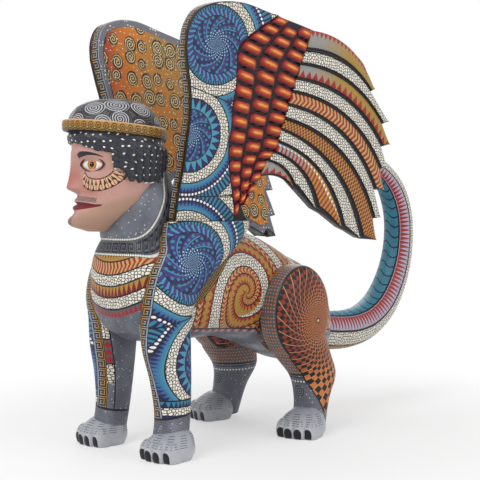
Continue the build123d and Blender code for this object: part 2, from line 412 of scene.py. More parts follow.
# dots on a sunflower lattice, with fine arms from the middle
def sunflower(reach, angle, full):
    a, b, rise = lattice(reach, angle, 17, 3.1)
    share = reach / full
    spot = length(a - 0.5, b - 0.5) < 0.25
    arm = fraction(angle * (9 / (2 * math.pi)) + rise * 1.7)
    colour = lay(arm < 0.5, "indigo", "violet")
    colour = lay(both(arm < 0.09, within(share, 0.12, 0.9)), colour, "turquoise")
    colour = lay(spot, colour, lay(share < 0.5, "teal", "sky"))
    return lay(share > 0.965, colour, "ink")


# rings outside a flower: leaves, stones, a fringed band and beads, by distance
def flowerRings(reach, angle, plane, full, petals=None):
    out = reach - full
    turns = angle / (2 * math.pi)
    across = out / 8.2
    leaves = lay(fraction(turns * 38.0 + size(across - 0.5) * 1.1) < 0.38, "violet", "turquoise")
    leaves = lay(across > 0.62, leaves, lay(fraction(turns * 76.0) < 0.5, "indigo", "teal"))
    if petals is not None:
        leaves = lay(petals, leaves, lay(teeth(turns * 26.0, across), "indigo", "turquoise"))
    stone = stones(plane)
    fringe = (out - 17.0) / 7.5
    band = lay(fringe * 1.1, "turquoise", "blue")
    band = lay(teeth(turns * 84.0, (1.0 - fringe) * 1.8), band, "indigo")
    strokes = lay(fraction(turns * 90.0) < 0.5, "indigo", "teal")
    colour = lay(out > 8.2, leaves, stone)
    colour = lay(out > 17.0, colour, band)
    colour = lay(out > 24.5, colour, lay(dots(turns * 90.0, (out - 24.5) / 3.0, 0.34), "indigo", "white"))
    colour = lay(out > 27.6, colour, strokes)
    colour = lay(out > 35.6, colour, stone)
    colour = lay(out > 44.0, colour, band)
    lines = either(*(stripe(out, at, half) for at, half in (
        (8.2, 0.5), (17.0, 0.5), (24.5, 0.4), (35.6, 0.5), (44.0, 0.5))))
    return lay(lines, colour, "ink")


# distance and angle about the nearest flower, all measured as if they had the first one's radius
def nearestFlower(u, v, flowers):
    base = flowers[0][2]
    reach = du = dv = gap = None
    for cu, cv, radius in flowers:
        nextU, nextV = u - cu, v - cv
        nextReach = length(nextU, nextV) - radius + base
        if reach is None:
            reach, du, dv, gap = nextReach, nextU, nextV, 99.0
            continue
        pick = nextReach < reach
        gap = calc("MINIMUM", gap, size(nextReach - reach))
        du, dv = du + pick * (nextU - du), dv + pick * (nextV - dv)
        reach = calc("MINIMUM", nextReach, reach)
    return reach, angleOf(dv, du), gap


# pale spirals scattered over a ground, each in its dark ring
def spiralField(point, width, least, spread, ground, line="straw", ring="ink", pitch=2.4, scatter=0.6):
    node = cells(point, width, "F1", flat=True, scatter=scatter)
    offset = current["tree"].nodes.new("ShaderNodeVectorMath")
    offset.operation = "SUBTRACT"
    current["tree"].links.new(point.socket, offset.inputs[0])
    current["tree"].links.new(node.outputs["Position"], offset.inputs[1])
    u, v = splitFields(Field(offset.outputs[0]))[:2]
    chance, other = splitFields(Field(node.outputs["Color"]))[:2]
    reach = length(u, v)
    full = least + chance * spread
    arm = fraction(reach / pitch - angleOf(v, u) / (2 * math.pi) + other) < 0.45
    colour = lay(reach < full + 0.8, ground, ring)
    colour = lay(reach < full, colour, lay(arm, "umber", line))
    return colour


# grey painted wood with pale specks
def speckled(point, ground="grey", speck="ash", width=4.2):
    node = cells(point, width, "F1", scatter=1.0)
    cloudy = noise(point, 0.045, 4.0)
    base = lay((cloudy - 0.38) * 3.0, "smoke", ground)
    return lay(Field(node.outputs["Distance"]) < 0.16, base, speck)


# a painted wood finish: colour from a pattern, faint brush marks, a soft lacquer
def paintedWood(name, pattern, roughness=0.42, relief=0.0002):
    material = bpy.data.materials.new(name)
    material.use_nodes = True
    tree = material.node_tree
    tree.nodes.clear()
    current["tree"] = tree
    point = placeFields()[0]
    colour = pattern()
    brush = noise(point, 0.9, 3.0)
    worn = lay((brush - 0.5) * 0.25, colour, "ink")
    shader = tree.nodes.new("ShaderNodeBsdfPrincipled")
    output = tree.nodes.new("ShaderNodeOutputMaterial")
    tree.links.new(worn.socket, shader.inputs["Base Color"])
    shader.inputs["Roughness"].default_value = roughness
    shader.inputs["Specular IOR Level"].default_value = 0.35
    grey = tree.nodes.new("ShaderNodeRGBToBW")
    tree.links.new(colour.socket, grey.inputs[0])
    bump = tree.nodes.new("ShaderNodeBump")
    bump.inputs["Strength"].default_value = 0.5
    bump.inputs["Distance"].default_value = relief
    tree.links.new((Field(grey.outputs[0]) + brush * 0.35).socket, bump.inputs["Height"])
    tree.links.new(bump.outputs[0], shader.inputs["Normal"])
    tree.links.new(shader.outputs[0], output.inputs["Surface"])
    return material


bodyPaint = {
    "scrollBack": 99.4, "scrollHeight": 125.0, "scrollPitch": 27.0,  # the flank scroll
    "chestLine": -147.0, "collar": 173.0, "collarBack": -178.0,
}


# the trunk: a spiral scroll on the flank by turns and distance, a stitched belly under a sloping line, bands
# across the chest by height, and a collar by height above a curve that climbs the neck
def bodyPattern():
    point, x, y, z = placeFields()
    flatSide, flatFront = joinFields(y, z), joinFields(x, z)
    dy = y - (toeLine + bodyPaint["scrollBack"])
    dz = z - bodyPaint["scrollHeight"]
    reach = length(dy, dz)
    turns = angleOf(dz, dy) / (2 * math.pi)
    wound = reach / bodyPaint["scrollPitch"] - turns
    t = fraction(wound)
    count = turns * ((calc("FLOOR", wound) + 1.6) * 14.0)
    stone = stones(lay(y < bodyPaint["chestLine"], flatSide, flatFront))
    hatch = fraction(count * 4.0) < 0.3
    goldTeeth = lay(hatch, "gold", "ochre")
    goldTeeth = lay(teeth(count, (t - 0.05) / 0.13), goldTeeth, "red")
    goldTeeth = lay(teeth(count, (0.35 - t) / 0.10), goldTeeth, "red")
    redRow = lay(chevrons(count * 1.3, (t - 0.38) / 0.2), "sand", "red")
    centre = lay(teeth(count, (t - 0.61) / 0.22), lay(hatch, "gold", "ochre"), "red")
    flank = lay(t < 0.355, lay(reach < 19.0, stone, centre), goldTeeth)
    flank = lay(within(t, 0.38, 0.58), flank, redRow)
    edges = either(stripe(t, 0.365, 0.02), stripe(t, 0.595, 0.02), t < 0.035)
    flank = lay(edges, flank, "ink")
    # belly: grey with dark stitches
    under = z + (y + 26.0) * 0.08 - 90.8
    stitch = both(fraction(y * 0.55 + z * 0.25) < 0.3, stripe(fraction(under / 9.0), 0.5, 0.16))
    belly = lay(stitch, speckled(point, "ash", "silver"), "slate")
    edge = lay(fraction(y * 0.12) < 0.5, "red", "ash")
    body = lay(under < 0.0, flank, lay(under > -2.6, belly, edge))
    body = lay(stripe(under, 0.0, 0.7), body, "ink")
    # chest: hanging bands between the forelegs
    hang = z - x * x * 0.008
    around = x * 0.16
    weave = lay(fraction(x * 0.9 + z * 0.3) < 0.3, "gold", "ochre")
    chest = lay(hang < 154.0,
                lay(teeth(around * 1.8, (164.0 - hang) / 6.0 - 0.3), weave, "crimson"),
                lay(chevrons(around * 1.7, (hang - 144.0) / 10.0), "sand", "red"))
    chest = lay(hang < 143.5, chest, stone)
    chest = lay(hang < 134.5, chest, lay(teeth(around * 1.5, (hang - 126.0) / 8.5), weave, "crimson"))
    chest = lay(hang < 125.5, chest, stone)
    chest = lay(hang < 116.0, chest, lay(teeth(around * 1.5, (hang - 110.0) / 6.0), "smoke", "red"))
    chest = lay(hang < 110.0, chest, speckled(point))
    rules = either(*(stripe(hang, at, half) for at, half in (
        (153.9, 0.6), (143.6, 0.6), (134.5, 0.6), (125.6, 0.6), (116.0, 0.7))))
    chest = lay(rules, chest, "ink")
    body = lay(y < bodyPaint["chestLine"], body, chest)
    # the key band where the shoulder meets the flank
    slope = math.hypot(58.0, 60.4)
    off = ((y + 83.1) * 60.4 - (z - 170.3) * 58.0) / slope
    run = ((y + 83.1) * 58.0 + (z - 170.3) * 60.4) / slope
    key = lay(keyPattern(run / 5.6, (off + 3.2) / 6.4), "ink", "ochre")
    outside = size(x) > 25.0
    body = lay(both(size(off) < 4.2, outside), body, "ink")
    body = lay(both(size(off) < 3.2, outside), body, key)
    # collar: two rows of beads and a key band, low on the chest and steep up the sides of the neck
    behind = calc("MAXIMUM", y - bodyPaint["collarBack"], 0.0)
    climb = calc("SQRT", behind * behind * 0.0121 + 1.0)
    lift = (z - bodyPaint["collar"] - behind * behind * 0.055) / climb
    rise = calc("LOGARITHM", behind * 0.11 + climb, math.e) / 0.11
    run = size(x) + (behind * climb + rise) * 0.5  # length along the collar's curve
    neck = speckled(point, "grey", "silver", 3.6)
    collar = lay(keyPattern(run / 9.0, (lift + 12.0) / 9.8), "ink", "smoke")
    collar = lay(lift > -2.2, collar, lay(dots(run / 1.9, (lift + 2.2) / 2.2, 0.4), "ink", "white"))
    collar = lay(lift < -12.0, collar, lay(dots(run / 1.9, (lift + 14.2) / 2.2, 0.4), "ink", "white"))
    body = lay(both(lift > -14.2, z > 150.0), body, collar)
    return lay(either(lift > 0.0, both(z > 188.0, lift < -14.2)), body, neck)


# each flower by back, height and radius, and half the width of the key band
legPaint = {"flower": (28.1, 153.5, 25.0), "lower": (44.0, 74.0, 21.0), "band": 5.0}


# a foreleg: flowers outside by distance, a key band down the front by the way round, grey inside
def forelegPattern():
    point, x, y, z = placeFields()
    around, along = guideFields()[1:]
    plane = joinFields(y, z)
    flowers = [(toeLine + legPaint[name][0], *legPaint[name][1:]) for name in ("flower", "lower")]
    full = flowers[0][2]
    reach, angle, gap = nearestFlower(y, z, flowers)
    rings = flowerRings(reach, angle, plane, full, z < 112.0)
    outer = lay(reach > full, sunflower(reach, angle, full), rings)
    outer = lay(gap < 0.9, outer, "ink")
    ankle = lay(stripe(z, 38.0, 3.0), "indigo", stones(plane))
    ankle = lay(within(z, 41.0, 46.0), ankle, lay(teeth(y * 0.3, (z - 41.0) / 5.0), "teal", "indigo"))
    outer = lay(z < 46.0, outer, ankle)
    outer = lay(either(stripe(z, 46.0, 0.6), stripe(z, 41.0, 0.5)), outer, "ink")
    grey = speckled(point, "grey", "silver", 3.6)
    # the key band runs down the front edge, then a panel, then the grey inner side
    half = legPaint["band"]
    side = around - half - 0.8
    across = side / (2 * half) + 0.5
    cycle = fraction(along / 38.0)
    panel = lay(teeth(along * 0.16, size(side + 9.0) * 0.22), "smoke", "red")
    panel = lay(within(cycle, 0.35, 0.8), panel, stones(joinFields(x, z)))
    panel = lay(either(stripe(cycle, 0.35, 0.015), stripe(cycle, 0.8, 0.015)), panel, "ink")
    panel = lay(z > 112.0, panel, stones(joinFields(x, z)))
    paint = lay(either(side > half, side < -52.0), grey, outer)
    paint = lay(both(within(side, -13.0, -half), z > 52.0), paint, panel)
    paint = lay(stripe(side, -13.0, 0.6), paint, "ink")
    key = lay(keyPattern(along / 8.0, across), "ink", lay(across > 0.5, "gold", "ash"))
    paint = lay(size(side) < half + 0.8, paint, "ink")
    paint = lay(size(side) < half, paint, key)
    hatch = both(fraction(z * 0.5 + y * 0.2) < 0.2, noise(point, 0.12) > 0.55)
    ankleLine = z - 31.0 - side * 0.12
    paint = lay(ankleLine < 0.0, paint, lay(hatch, grey, "slate"))
    return lay(stripe(ankleLine, 0.0, 0.9), paint, "ink")


# a wheel of checks on crossing spirals, small at the middle and larger down the leg
def wheelOfChecks(y, z):
    dy, dz = y - (toeLine + 166.0), z - 99.0
    reach = length(dy, dz)
    a, b = lattice(reach, angleOf(dz, dy), 26, 4.1)[:2]
    check = size((a < 0.5) - (b < 0.5)) > 0.5
    outward = calc("MINIMUM", (reach - 12.0) / 24.0, 1.0)
    redder = outward - calc("MAXIMUM", (72.0 - z) / 20.0, 0.0) + dy * -0.01
    ember = lay(redder, "copper", "rust")
    wheel = lay(check, ember, "ink")
    wheel = lay(both(size(a - 0.5) > 0.465, reach > 14.0), wheel, "sand")
    wheel = lay(reach < 2.6, wheel, "ink")
    return lay(reach < 1.3, wheel, "straw")


# grey wood with small orange dots in close rows
def dottedGrey(plane):
    node = cells(plane, 3.0, "F1", flat=True, scatter=0.12)
    return lay(Field(node.outputs["Distance"]) < 0.25, "smoke", "amber")


# a haunch: the wheel inside an oval rim, and dotted grey on the wall round it
def haunchPattern():
    x, y, z = placeFields()[1:]
    ey, ez = (y - (toeLine + 155.0)) / 35.0, (z - 106.0) / 41.5
    rim = length(ey, ez)
    turns = angleOf(ez, ey) * 38.0
    wall = dottedGrey(joinFields(turns, x))
    wheel = wheelOfChecks(y, z)
    wall = lay(both(ey > 0.2, ez < 0.2, size(x) > 44.0), wall, wheel)
    paint = lay(rim > 0.955, wheel, wall)
    return lay(both(stripe(rim, 0.96, 0.012), either(ey < 0.2, ez > 0.2)), paint, "ink")


# a hind leg: dotted grey above, specks and rings below, and the wheel running down its outer side
def shankPattern():
    point, x, y, z = placeFields()
    guide, around = guideFields()[:2]
    grey = speckled(point, "grey", "silver", 3.6)
    dotted = dottedGrey(guide)
    paint = lay(z > 52.0, grey, dotted)
    paint = lay(either(stripe(z, 52.0, 0.7), stripe(z, 49.5, 0.4)), paint, "ink")
    paint = lay(both(stripe(z, 46.0, 1.2), dots(around / 3.2, (z - 44.8) / 2.4, 0.3)), paint, "white")
    ring = length(around - 1.0, z - 37.5)
    paint = lay(ring < 4.8, paint, lay(fraction(ring / 1.9) < 0.5, "grey", "ink"))
    front = around - 10.0 - calc("MAXIMUM", (46.0 - z) * 0.6, 0.0)
    wheel = wheelOfChecks(y, z)
    paint = lay(either(front > 0.0, around < -46.0), paint, wheel)
    paint = lay(either(stripe(front, 0.0, 0.8), stripe(around, -46.0, 0.6)), paint, "ink")
    return lay(z < 19.0, paint, grey)


# a paw: grey, with a dark nail at each front and short strokes behind it
def pawPattern():
    point, z = placeFields()[::3]
    turn, along = guideFields()[1:]
    signed = turn - (turn > 0.5)
    grey = lay((noise(point, 0.05) - 0.4) * 3.0, "grey", "ash")
    grey = lay((z - 4.0) * 0.04, "silver", grey)
    nail = length(signed / 0.085, calc("MAXIMUM", along - 4.5, 0.0) / 4.5)
    stroke = both(fraction(along * 0.62) < 0.24, within(along, 10.5, 21.0), fraction(turn * 9.0 + 0.25) < 0.5)
    paint = lay(stroke, grey, "slate")
    paint = lay(both(nail < 1.35, along > 0.6), paint, "silver")
    return lay(both(nail < 1.0, along > 0.6), paint, "ink")


# the tail: four bands on each side, by how far a point is from the inside of the bend
def tailPattern():
    point = placeFields()[0]
    turn, along = guideFields()[1:]
    cloud = noise(point, 0.08, 3.0)
    inner = lay((cloud - 0.4) * 3.0, "seablue", "teal")
    curl = fraction(along / 12.0 + calc("SINE", turn * 25.0) * 0.35) < 0.16
    inner = lay(curl, inner, "navy")
    side = lay(teeth(along * 0.22, fraction(turn * 8.0)), "lavender", "red")
    stone = stones(joinFields(turn * 100.0, along))
    gold = lay(teeth(along * 0.2, fraction(turn * 7.0)), "gold", "crimson")
    q = size(turn - 0.5) * 2.0  # 1 on the inside of the bend, 0 on the outside
    paint = lay(q > 0.78, side, inner)
    paint = lay(q < 0.5, paint, stone)
    paint = lay(q < 0.22, paint, gold)
    return lay(either(*(stripe(q, at, 0.018) for at in (0.78, 0.5, 0.22))), paint, "ink")


wingPaint = {"flowers": ((27.2, 140.8, 23.3), (8.0, 68.5, 21.0), (9.4, -32.8, 25.0))}  # along, up, radius


# the wing's front panel: three flowers, each point painted by its nearest
def wingFrontPattern():
    guide, along, up = guideFields()
    full = wingPaint["flowers"][0][2]
    reach, angle, gap = nearestFlower(along, up, wingPaint["flowers"])
    petals = within(up, 20.0, 108.0)
    rings = flowerRings(reach, angle, guide, full, petals)
    paint = lay(reach > full, sunflower(reach, angle, full), rings)
    return lay(gap < 0.9, paint, "ink")


# the inner face: warm wood that turns red at the front, under spirals and small specks
def wingInnerPattern():
    guide, along, up = guideFields()
    fade = noise(guide, 0.03, 2.0)
    warm = lay((along - 2.0) / 42.0 + (fade - 0.5), "orange", "amber")
    rearward = calc("MAXIMUM", (along - 40.0) / 80.0 + (fade - 0.5), 0.0)
    upward = calc("MAXIMUM", (up - 50.0) / 50.0, 0.0)
    warm = lay(both(rearward, upward), warm, "gold")
    red = calc("MAXIMUM", 1.0 - (along + (150.0 - up) * 0.15) / 24.0, 0.0)
    warm = lay(red, warm, "red")
    big = spiralField(guide, 17.0, 4.6, 3.0, warm, pitch=2.4, scatter=0.4)
    specks = cells(guide, 5.2, "F1", flat=True, scatter=0.8).outputs["Distance"]
    speckColour = lay(noise(guide, 0.4, 0.0) > 0.42, "ink", "cream")
    return lay(Field(specks) < 0.12, big, speckColour)


# the board's rim: a key band in front, dark stitched wood at the feathers
def rimEdgePattern():
    along, deep = guideFields()[1:]
    y, z = placeFields()[2:]
    key = lay(keyPattern(along / 8.5, deep), "ink", lay(deep > 0.5, "ash", "gold"))
    stitches = lay(both(fraction(along / 1.7) < 0.35, stripe(deep, 0.5, 0.3)), "ink", "slate")
    return lay(either(y > toeLine + 95.0, both(z < 189.0, y > toeLine + 26.0)), key, stitches)


# grey with white specks
def borderPattern():
    point = placeFields()[0]
    node = cells(point, 3.6, "F1", scatter=0.3)
    return lay(Field(node.outputs["Distance"]) < 0.24, "grey", "white")


# a tile: red paint under a ramp of painted light, with painted shade nearly black at its rims and a painted
# highlight streak down its middle
def tilePattern():
    down, along = guideFields()[1:]
    point = placeFields()[0]
    middle = 1.0 - size(down - 0.42) * 2.0
    ends = 1.0 - calc("POWER", size(along - 0.5) * 2.0, 3.0)
    # painted shade and painted highlight: dark where the pillow falls away at its rims, brightest along its
    # middle
    paintedLightShare = middle * ends + (noise(point, 0.6) - 0.5) * 0.3
    glow = lay(paintedLightShare * 2.6 - 0.15, "maroon", "red")
    glow = lay(paintedLightShare * 2.6 - 1.3, glow, "orange")
    return lay(paintedLightShare * 4.5 - 3.4, glow, "flame")


# one feather by kind, along it and across it, with a black line and a stitched sill
def featherPattern(kind):
    def pattern():
        y, z = placeFields()[2:]
        along, across = guideFields()[1:]
        v = across / 0.81
        base = lay((along - 10.0) / 40.0, "ash", "gold")
        if kind == "stones":
            paint = stones(joinFields(y, z))
        elif kind in ("goldTeeth", "goldHatch"):
            row = teeth(along / 7.5, (1.0 - v) * 1.6) if kind == "goldTeeth" else teeth(along / 5.0, v * 2.6)
            paint = lay(row, lay(fraction(along * 1.2) < 0.3, base, "olive"), "red")
        elif kind == "chevrons":
            paint = lay(chevrons(along / 4.6, v), "sand", "red")
        elif kind == "checks":
            first = fraction(along / 3.6 + v * 0.6) < 0.5
            second = fraction(v * 2.0) < 0.5
            paint = lay(size(first - second) > 0.5, "gold", "crimson")
        else:
            paint = lay(both(fraction(along / 4.6) < 0.45, v > 0.3), base, "red")
            paint = lay(dots(along / 4.6, v / 0.42, 0.24), paint, "white")
        paint = lay(v > 0.97, paint, "ink")
        dash = both(fraction(along / 1.6) < 0.4, stripe(across, 0.92, 0.03))
        return lay(both(across > 0.81, dash), paint, "slate")
    return pattern


# the face by side and height: blush, painted shade low on the jaw, brow, petals under the eye, moustache,
# lips and beard
def facePattern():
    point = placeFields()[0]
    u, up = guideFields()[1:]
    side = size(u)
    tone = noise(point, 0.05, 3.0)
    skin = lay((tone - 0.45) * 0.8, "skin", "peach")
    cheek = calc("MAXIMUM", 1.0 - length((side - 20.0) / 16.0, (up - 213.0) / 9.0), 0.0)
    skin = lay(cheek * 0.75, skin, "blush")
    nose = calc("MAXIMUM", 1.0 - length(u / 12.0, (up - 220.0) / 17.0), 0.0)
    skin = lay(nose * 0.75, skin, "blush")
    # painted shade: an olive darkening low on the jaw and towards the sides of the face, at most 0.3
    jaw = calc("MAXIMUM", (194.0 - up) / 12.0 + (side - 14.0) / 30.0, 0.0)
    skin = lay(calc("MINIMUM", jaw * 0.7, 0.3), skin, "olive")
    # brow, nose dots, under-eye petals, moustache, lips, beard
    browLine = up - 239.8 + (side - 20.0) * (side - 20.0) * 0.02
    skin = lay(both(size(browLine) < 2.0 - size(side - 15.0) * 0.1, within(side, 9.0, 32.0)), skin, "hair")
    skin = lay(both(side < 0.7, fraction(up / 2.2) < 0.5, within(up, 218.0, 240.0)), skin, "white")
    eu, ev = side - 26.0, up - 235.0
    reach, turn = length(eu, ev), angleOf(ev, eu) / (2 * math.pi)
    ring = (reach - 15.0) / 10.0
    lower = both(within(ring, 0.0, 1.0), within(turn - ring * 0.05, -0.40, -0.10))
    petalOne = both(teeth(turn * 36.0, ring * 1.5 - 0.1), ring < 0.62)
    petalTwo = length(fraction(turn * 30.0) - 0.5, (ring - 0.72) * 1.9) < 0.42
    skin = lay(lower, skin, "brown")
    skin = lay(both(lower, within(ring, 0.1, 0.92)), skin, lay(either(petalOne, petalTwo), "brown", "petal"))
    skin = lay(both(lower, stripe(fraction(turn * 30.0), 0.5, 0.08)), skin, "blush")
    hairs = fraction(side * 0.8 + up * 0.45) < 0.55
    skin = lay(both(stripe(up, 205.2 - side * 0.08, 1.9), within(side, 1.5, 27.0), hairs), skin, "slate")
    lips = size(up - 198.6) < 3.3 - side * side * 0.0029
    skin = lay(both(lips, side < 33.0), skin, "crimson")
    skin = lay(both(stripe(up, 199.4, 0.4), side < 33.0), skin, "wine")
    beard = both(length(u / 7.5, (up - 187.0) / 8.0) < 1.0, fraction(u * 0.9 + up * 0.4) < 0.5)
    return lay(beard, skin, "slate")


# hair: dark strands with scattered white dots
def hairPattern():
    guide, u, up = guideFields()
    shifted = joinFields(u + calc("SINE", up * 0.7) * 0.8, up)
    node = cells(shifted, 5.4, "F1", flat=True, scatter=0.5)
    reach = Field(node.outputs["Distance"])
    fine = cells(guide, 0.9, "F1", flat=True, scatter=1.0)
    strand = noise(guide, 0.5, 2.0)
    colour = lay((strand - 0.4) * 1.5, "hair", "slate")
    colour = lay(Field(fine.outputs["Distance"]) < 0.13, colour, "smoke")
    return lay(reach < 0.13, colour, "white")


# the headband: a row of small coils with a link between, and a pale top
def bandPattern():
    u, across = guideFields()[1:]
    cell = fraction(u / 5.8) - 0.5
    high = (across - 0.5) * 1.05
    reach = length(cell, high)
    scroll = fraction(reach * 4.6 - angleOf(high, cell) / (2 * math.pi)) < 0.42
    link = both(size(cell) > 0.36, stripe(across, 0.22, 0.08))
    ground = lay(across * 1.2 - 0.2, "ochre", "gold")
    paint = lay(both(scroll, reach < 0.46), ground, "umber")
    paint = lay(link, paint, "umber")
    paint = lay(dots(u / 5.8 + 0.5, (across - 0.1) * 2.5, 0.14), paint, "sand")
    paint = lay(across > 0.9, paint, "peach")
    return lay(across < 0.06, paint, "ink")


# the cap: close spirals, with grey ones in the gaps
def capPattern():
    guide = guideFields()[0]
    point = placeFields()[0]
    cloud = noise(point, 0.06, 3.0)
    ground = lay((cloud - 0.4) * 2.5, "hair", "slate")
    between = spiralField(guide, 16.5, 40.0, 1.0, ground, "smoke", pitch=1.9, scatter=0.2)
    return spiralField(guide, 16.5, 7.4, 0.6, between, line="silver", pitch=1.9, scatter=0.2)


# an eye: rings by distance from its middle, and a painted highlight as a glint
def eyePattern():
    u, v = guideFields()[1:]
    reach = length(u, v)
    rays = fraction(angleOf(v, u) * 5.0) < 0.3
    iris = lay(rays, "amber", "gold")
    paint = lay(reach < 4.3, "white", "brown")
    paint = lay(reach < 3.9, paint, iris)
    paint = lay(reach < 2.2, paint, "brown")
    paint = lay(reach < 1.9, paint, "ink")
    # painted highlight: a small silver glint up and to one side of the pupil
    return lay(length(u + 0.6, v - 0.8) < 0.4, paint, "silver")


# a lid: wine and brown mixed by noise
def rimPattern():
    point = placeFields()[0]
    return lay(noise(point, 0.4) * 0.5, "wine", "brown")


# bare wood: noise drawn out along y
def woodPattern():
    x, y, z = placeFields()[1:]
    grain = noise(joinFields(x * 0.6, y * 0.08, z * 0.6), 1.0, 4.0)
    return lay((grain - 0.35) * 2.0, "wood", "brown")


# dark paint with faint specks
def darkPattern():
    point = placeFields()[0]
    node = cells(point, 3.0, "F1", scatter=0.6)
    return lay(Field(node.outputs["Distance"]) < 0.12, "ink", "slate")


featherKinds = ("goldHatch", "stones", "goldTeeth", "stones", "chevrons", "stones",
                "checks", "stones", "goldBars", "stones", "goldTeeth")
finish = {
    "body": paintedWood("bodyPaint", bodyPattern), "foreleg": paintedWood("forelegPaint", forelegPattern),
    "haunch": paintedWood("haunchPaint", haunchPattern), "shank": paintedWood("shankPaint", shankPattern),
    "paw": paintedWood("pawPaint", pawPattern), "tail": paintedWood("tailPaint", tailPattern),
    "wingFront": paintedWood("wingFlowerPaint", wingFrontPattern),
    "wingInner": paintedWood("wingSpiralPaint", wingInnerPattern),
    "edge": paintedWood("rimKeyPaint", rimEdgePattern), "border": paintedWood("borderPaint", borderPattern),
    "tile": paintedWood("tilePaint", tilePattern, 0.35), "face": paintedWood("facePaint", facePattern, 0.5),
    "hair": paintedWood("hairPaint", hairPattern), "band": paintedWood("bandPaint", bandPattern, 0.4, 0.0005),
    "cap": paintedWood("capPaint", capPattern), "eye": paintedWood("eyePaint", eyePattern, 0.15, 0.00002),
    "rim": paintedWood("lidPaint", rimPattern), "wood": paintedWood("bareWood", woodPattern, 0.6),
    "dark": paintedWood("darkPaint", darkPattern, 0.5),
}
for kind in dict.fromkeys(featherKinds):
    finish[kind] = paintedWood(kind + "Paint", featherPattern(kind))
print("paints mixed")


trunk = {
    "sections": ((-14, 124, 150, .30), (-9, 106, 168, .58), (4, 93, 184, .80), (26, 88, 191, .93),
                 (60, 87, 189, .98), (100, 86, 182, .91), (140, 74, 173, .88), (175, 60, 157, .87),
                 (205, 55, 143, .79), (222, 56, 128, .63), (232, 59, 113, .46)),
    # each row: back, low, high, share of the half width
    "halfWidth": 48.0, "rows": 150, "columns": 160,
}


# trunk: ovals across the body, each from its lowest to its highest point, closed by a shrinking end
def makeTrunk():
    backs, lows, highs, shares = columnsOf(trunk["sections"])
    at = np.linspace(backs[0], backs[-1], trunk["rows"])
    low = smoothThrough(backs, lows, at)
    high = smoothThrough(backs, highs, at)
    wide = smoothThrough(backs, shares, at) * trunk["halfWidth"]
    sideways, upwards = ovalTurn(trunk["columns"], 2.2)
    x = wide[:, None] * sideways
    z = ((low + high) / 2)[:, None] - ((high - low) / 2)[:, None] * upwards
    y = np.broadcast_to((toeLine + at)[:, None], x.shape)
    grid = np.stack([x, y, z], -1)
    return putSurface("trunk", grid, roundGuide(trunk["columns"], at), finish["body"])


neck = {
    "sections": ((140, 30, 27, 30), (160, 26, 34, 32), (174, 20, 34, 30.5), (190, 19, 34.5, 28.5),
                 (206, 21, 33.0, 24), (218, 21, 27, 21), (232, 18, 23, 20)),
    # each row: height, back, half width, half length
    "rows": 70, "columns": 120,
}


# neck: the column of its sections
def makeNeck():
    return putColumn("neck", neck["sections"], neck["rows"], neck["columns"], finish["body"])


# a column of ovals: each row gives height, back, half width and half length
def putColumn(name, sections, rows, columns, material):
    heights, backs, wides, longs = columnsOf(sections)
    at = np.linspace(heights[0], heights[-1], rows)
    back = smoothThrough(heights, backs, at)
    wide = smoothThrough(heights, wides, at)
    long = smoothThrough(heights, longs, at)
    sideways, forwards = ovalTurn(columns, 2.2)
    x = wide[:, None] * sideways
    y = toeLine + back[:, None] - long[:, None] * forwards
    z = np.broadcast_to(at[:, None], x.shape)
    return putSurface(name, np.stack([x, y, z], -1), roundGuide(columns, at), material)


# a leg: ovals that stand at each height, turned a little; columns start at the back, and the guide is the way
# round (mm) from the band line, or from the front where there is none, by the height
def legGrid(sections, rows, columns, bandLine=((0, 0), (200, 0))):
    heights, outs, backs, wides, longs, turns = columnsOf(sections)
    at = np.linspace(heights[0], heights[-1], rows)
    out, back, wide, long, turn = (smoothThrough(heights, v, at) for v in (outs, backs, wides, longs, turns))
    sideways, forwards = ovalTurn(columns, 2.25, -0.5)
    a = np.radians(turn)[:, None]
    u = wide[:, None] * sideways
    v = -long[:, None] * forwards
    x = out[:, None] + u * np.cos(a) + v * np.sin(a)
    y = toeLine + back[:, None] - u * np.sin(a) + v * np.cos(a)
    z = np.broadcast_to(at[:, None], x.shape)
    lineHeights, lineTurns = columnsOf(bandLine)
    girth = math.pi * (wide + long) * 1.05
    turned = np.linspace(-0.5, 0.5, columns + 1)[None, :] - smoothThrough(lineHeights, lineTurns, at)[:, None]
    around = turned * girth[:, None]
    guide = np.stack([around, np.broadcast_to(at[:, None], around.shape)], -1)
    return np.stack([x, y, z], -1), guide


foreleg = {
    "sections": ((4, 39, 16, 14, 14, 0), (30, 38, 21, 13.5, 14, 0), (60, 36, 21, 14.5, 17, 0),
                 (85, 34, 18.5, 17, 20, 0), (105, 33, 18, 18.5, 21, 0), (125, 33.5, 20, 20, 25, 0),
                 (145, 35, 31, 19.5, 32, 2), (166, 39, 48, 17, 38, 5), (186, 43, 57, 14.5, 43, 7)),
    "rows": 150, "columns": 140,
    "bandLine": ((0, -.07), (98, -.07), (108, -.048), (114, -.025), (120, -.012), (130, 0), (144, .012),
                 (156, .012), (164, .004), (172, -.02), (186, -.032)),  # height, share of a turn
}
hindleg = {
    "shank": ((4, 54, 164, 14, 15, 0), (30, 51.5, 172, 14.5, 16, 0), (50, 49, 176, 17, 23, 0),
              (68, 47, 166, 19, 28, 0), (92, 45, 157, 17, 29, 0)),
    "haunch": ((26, 30, 37), (38, 34, 41), (50, 35, 41.5), (58, 32.5, 39), (62, 27, 33.5)),
    "haunchBack": 155.0, "haunchHeight": 106.0,
}


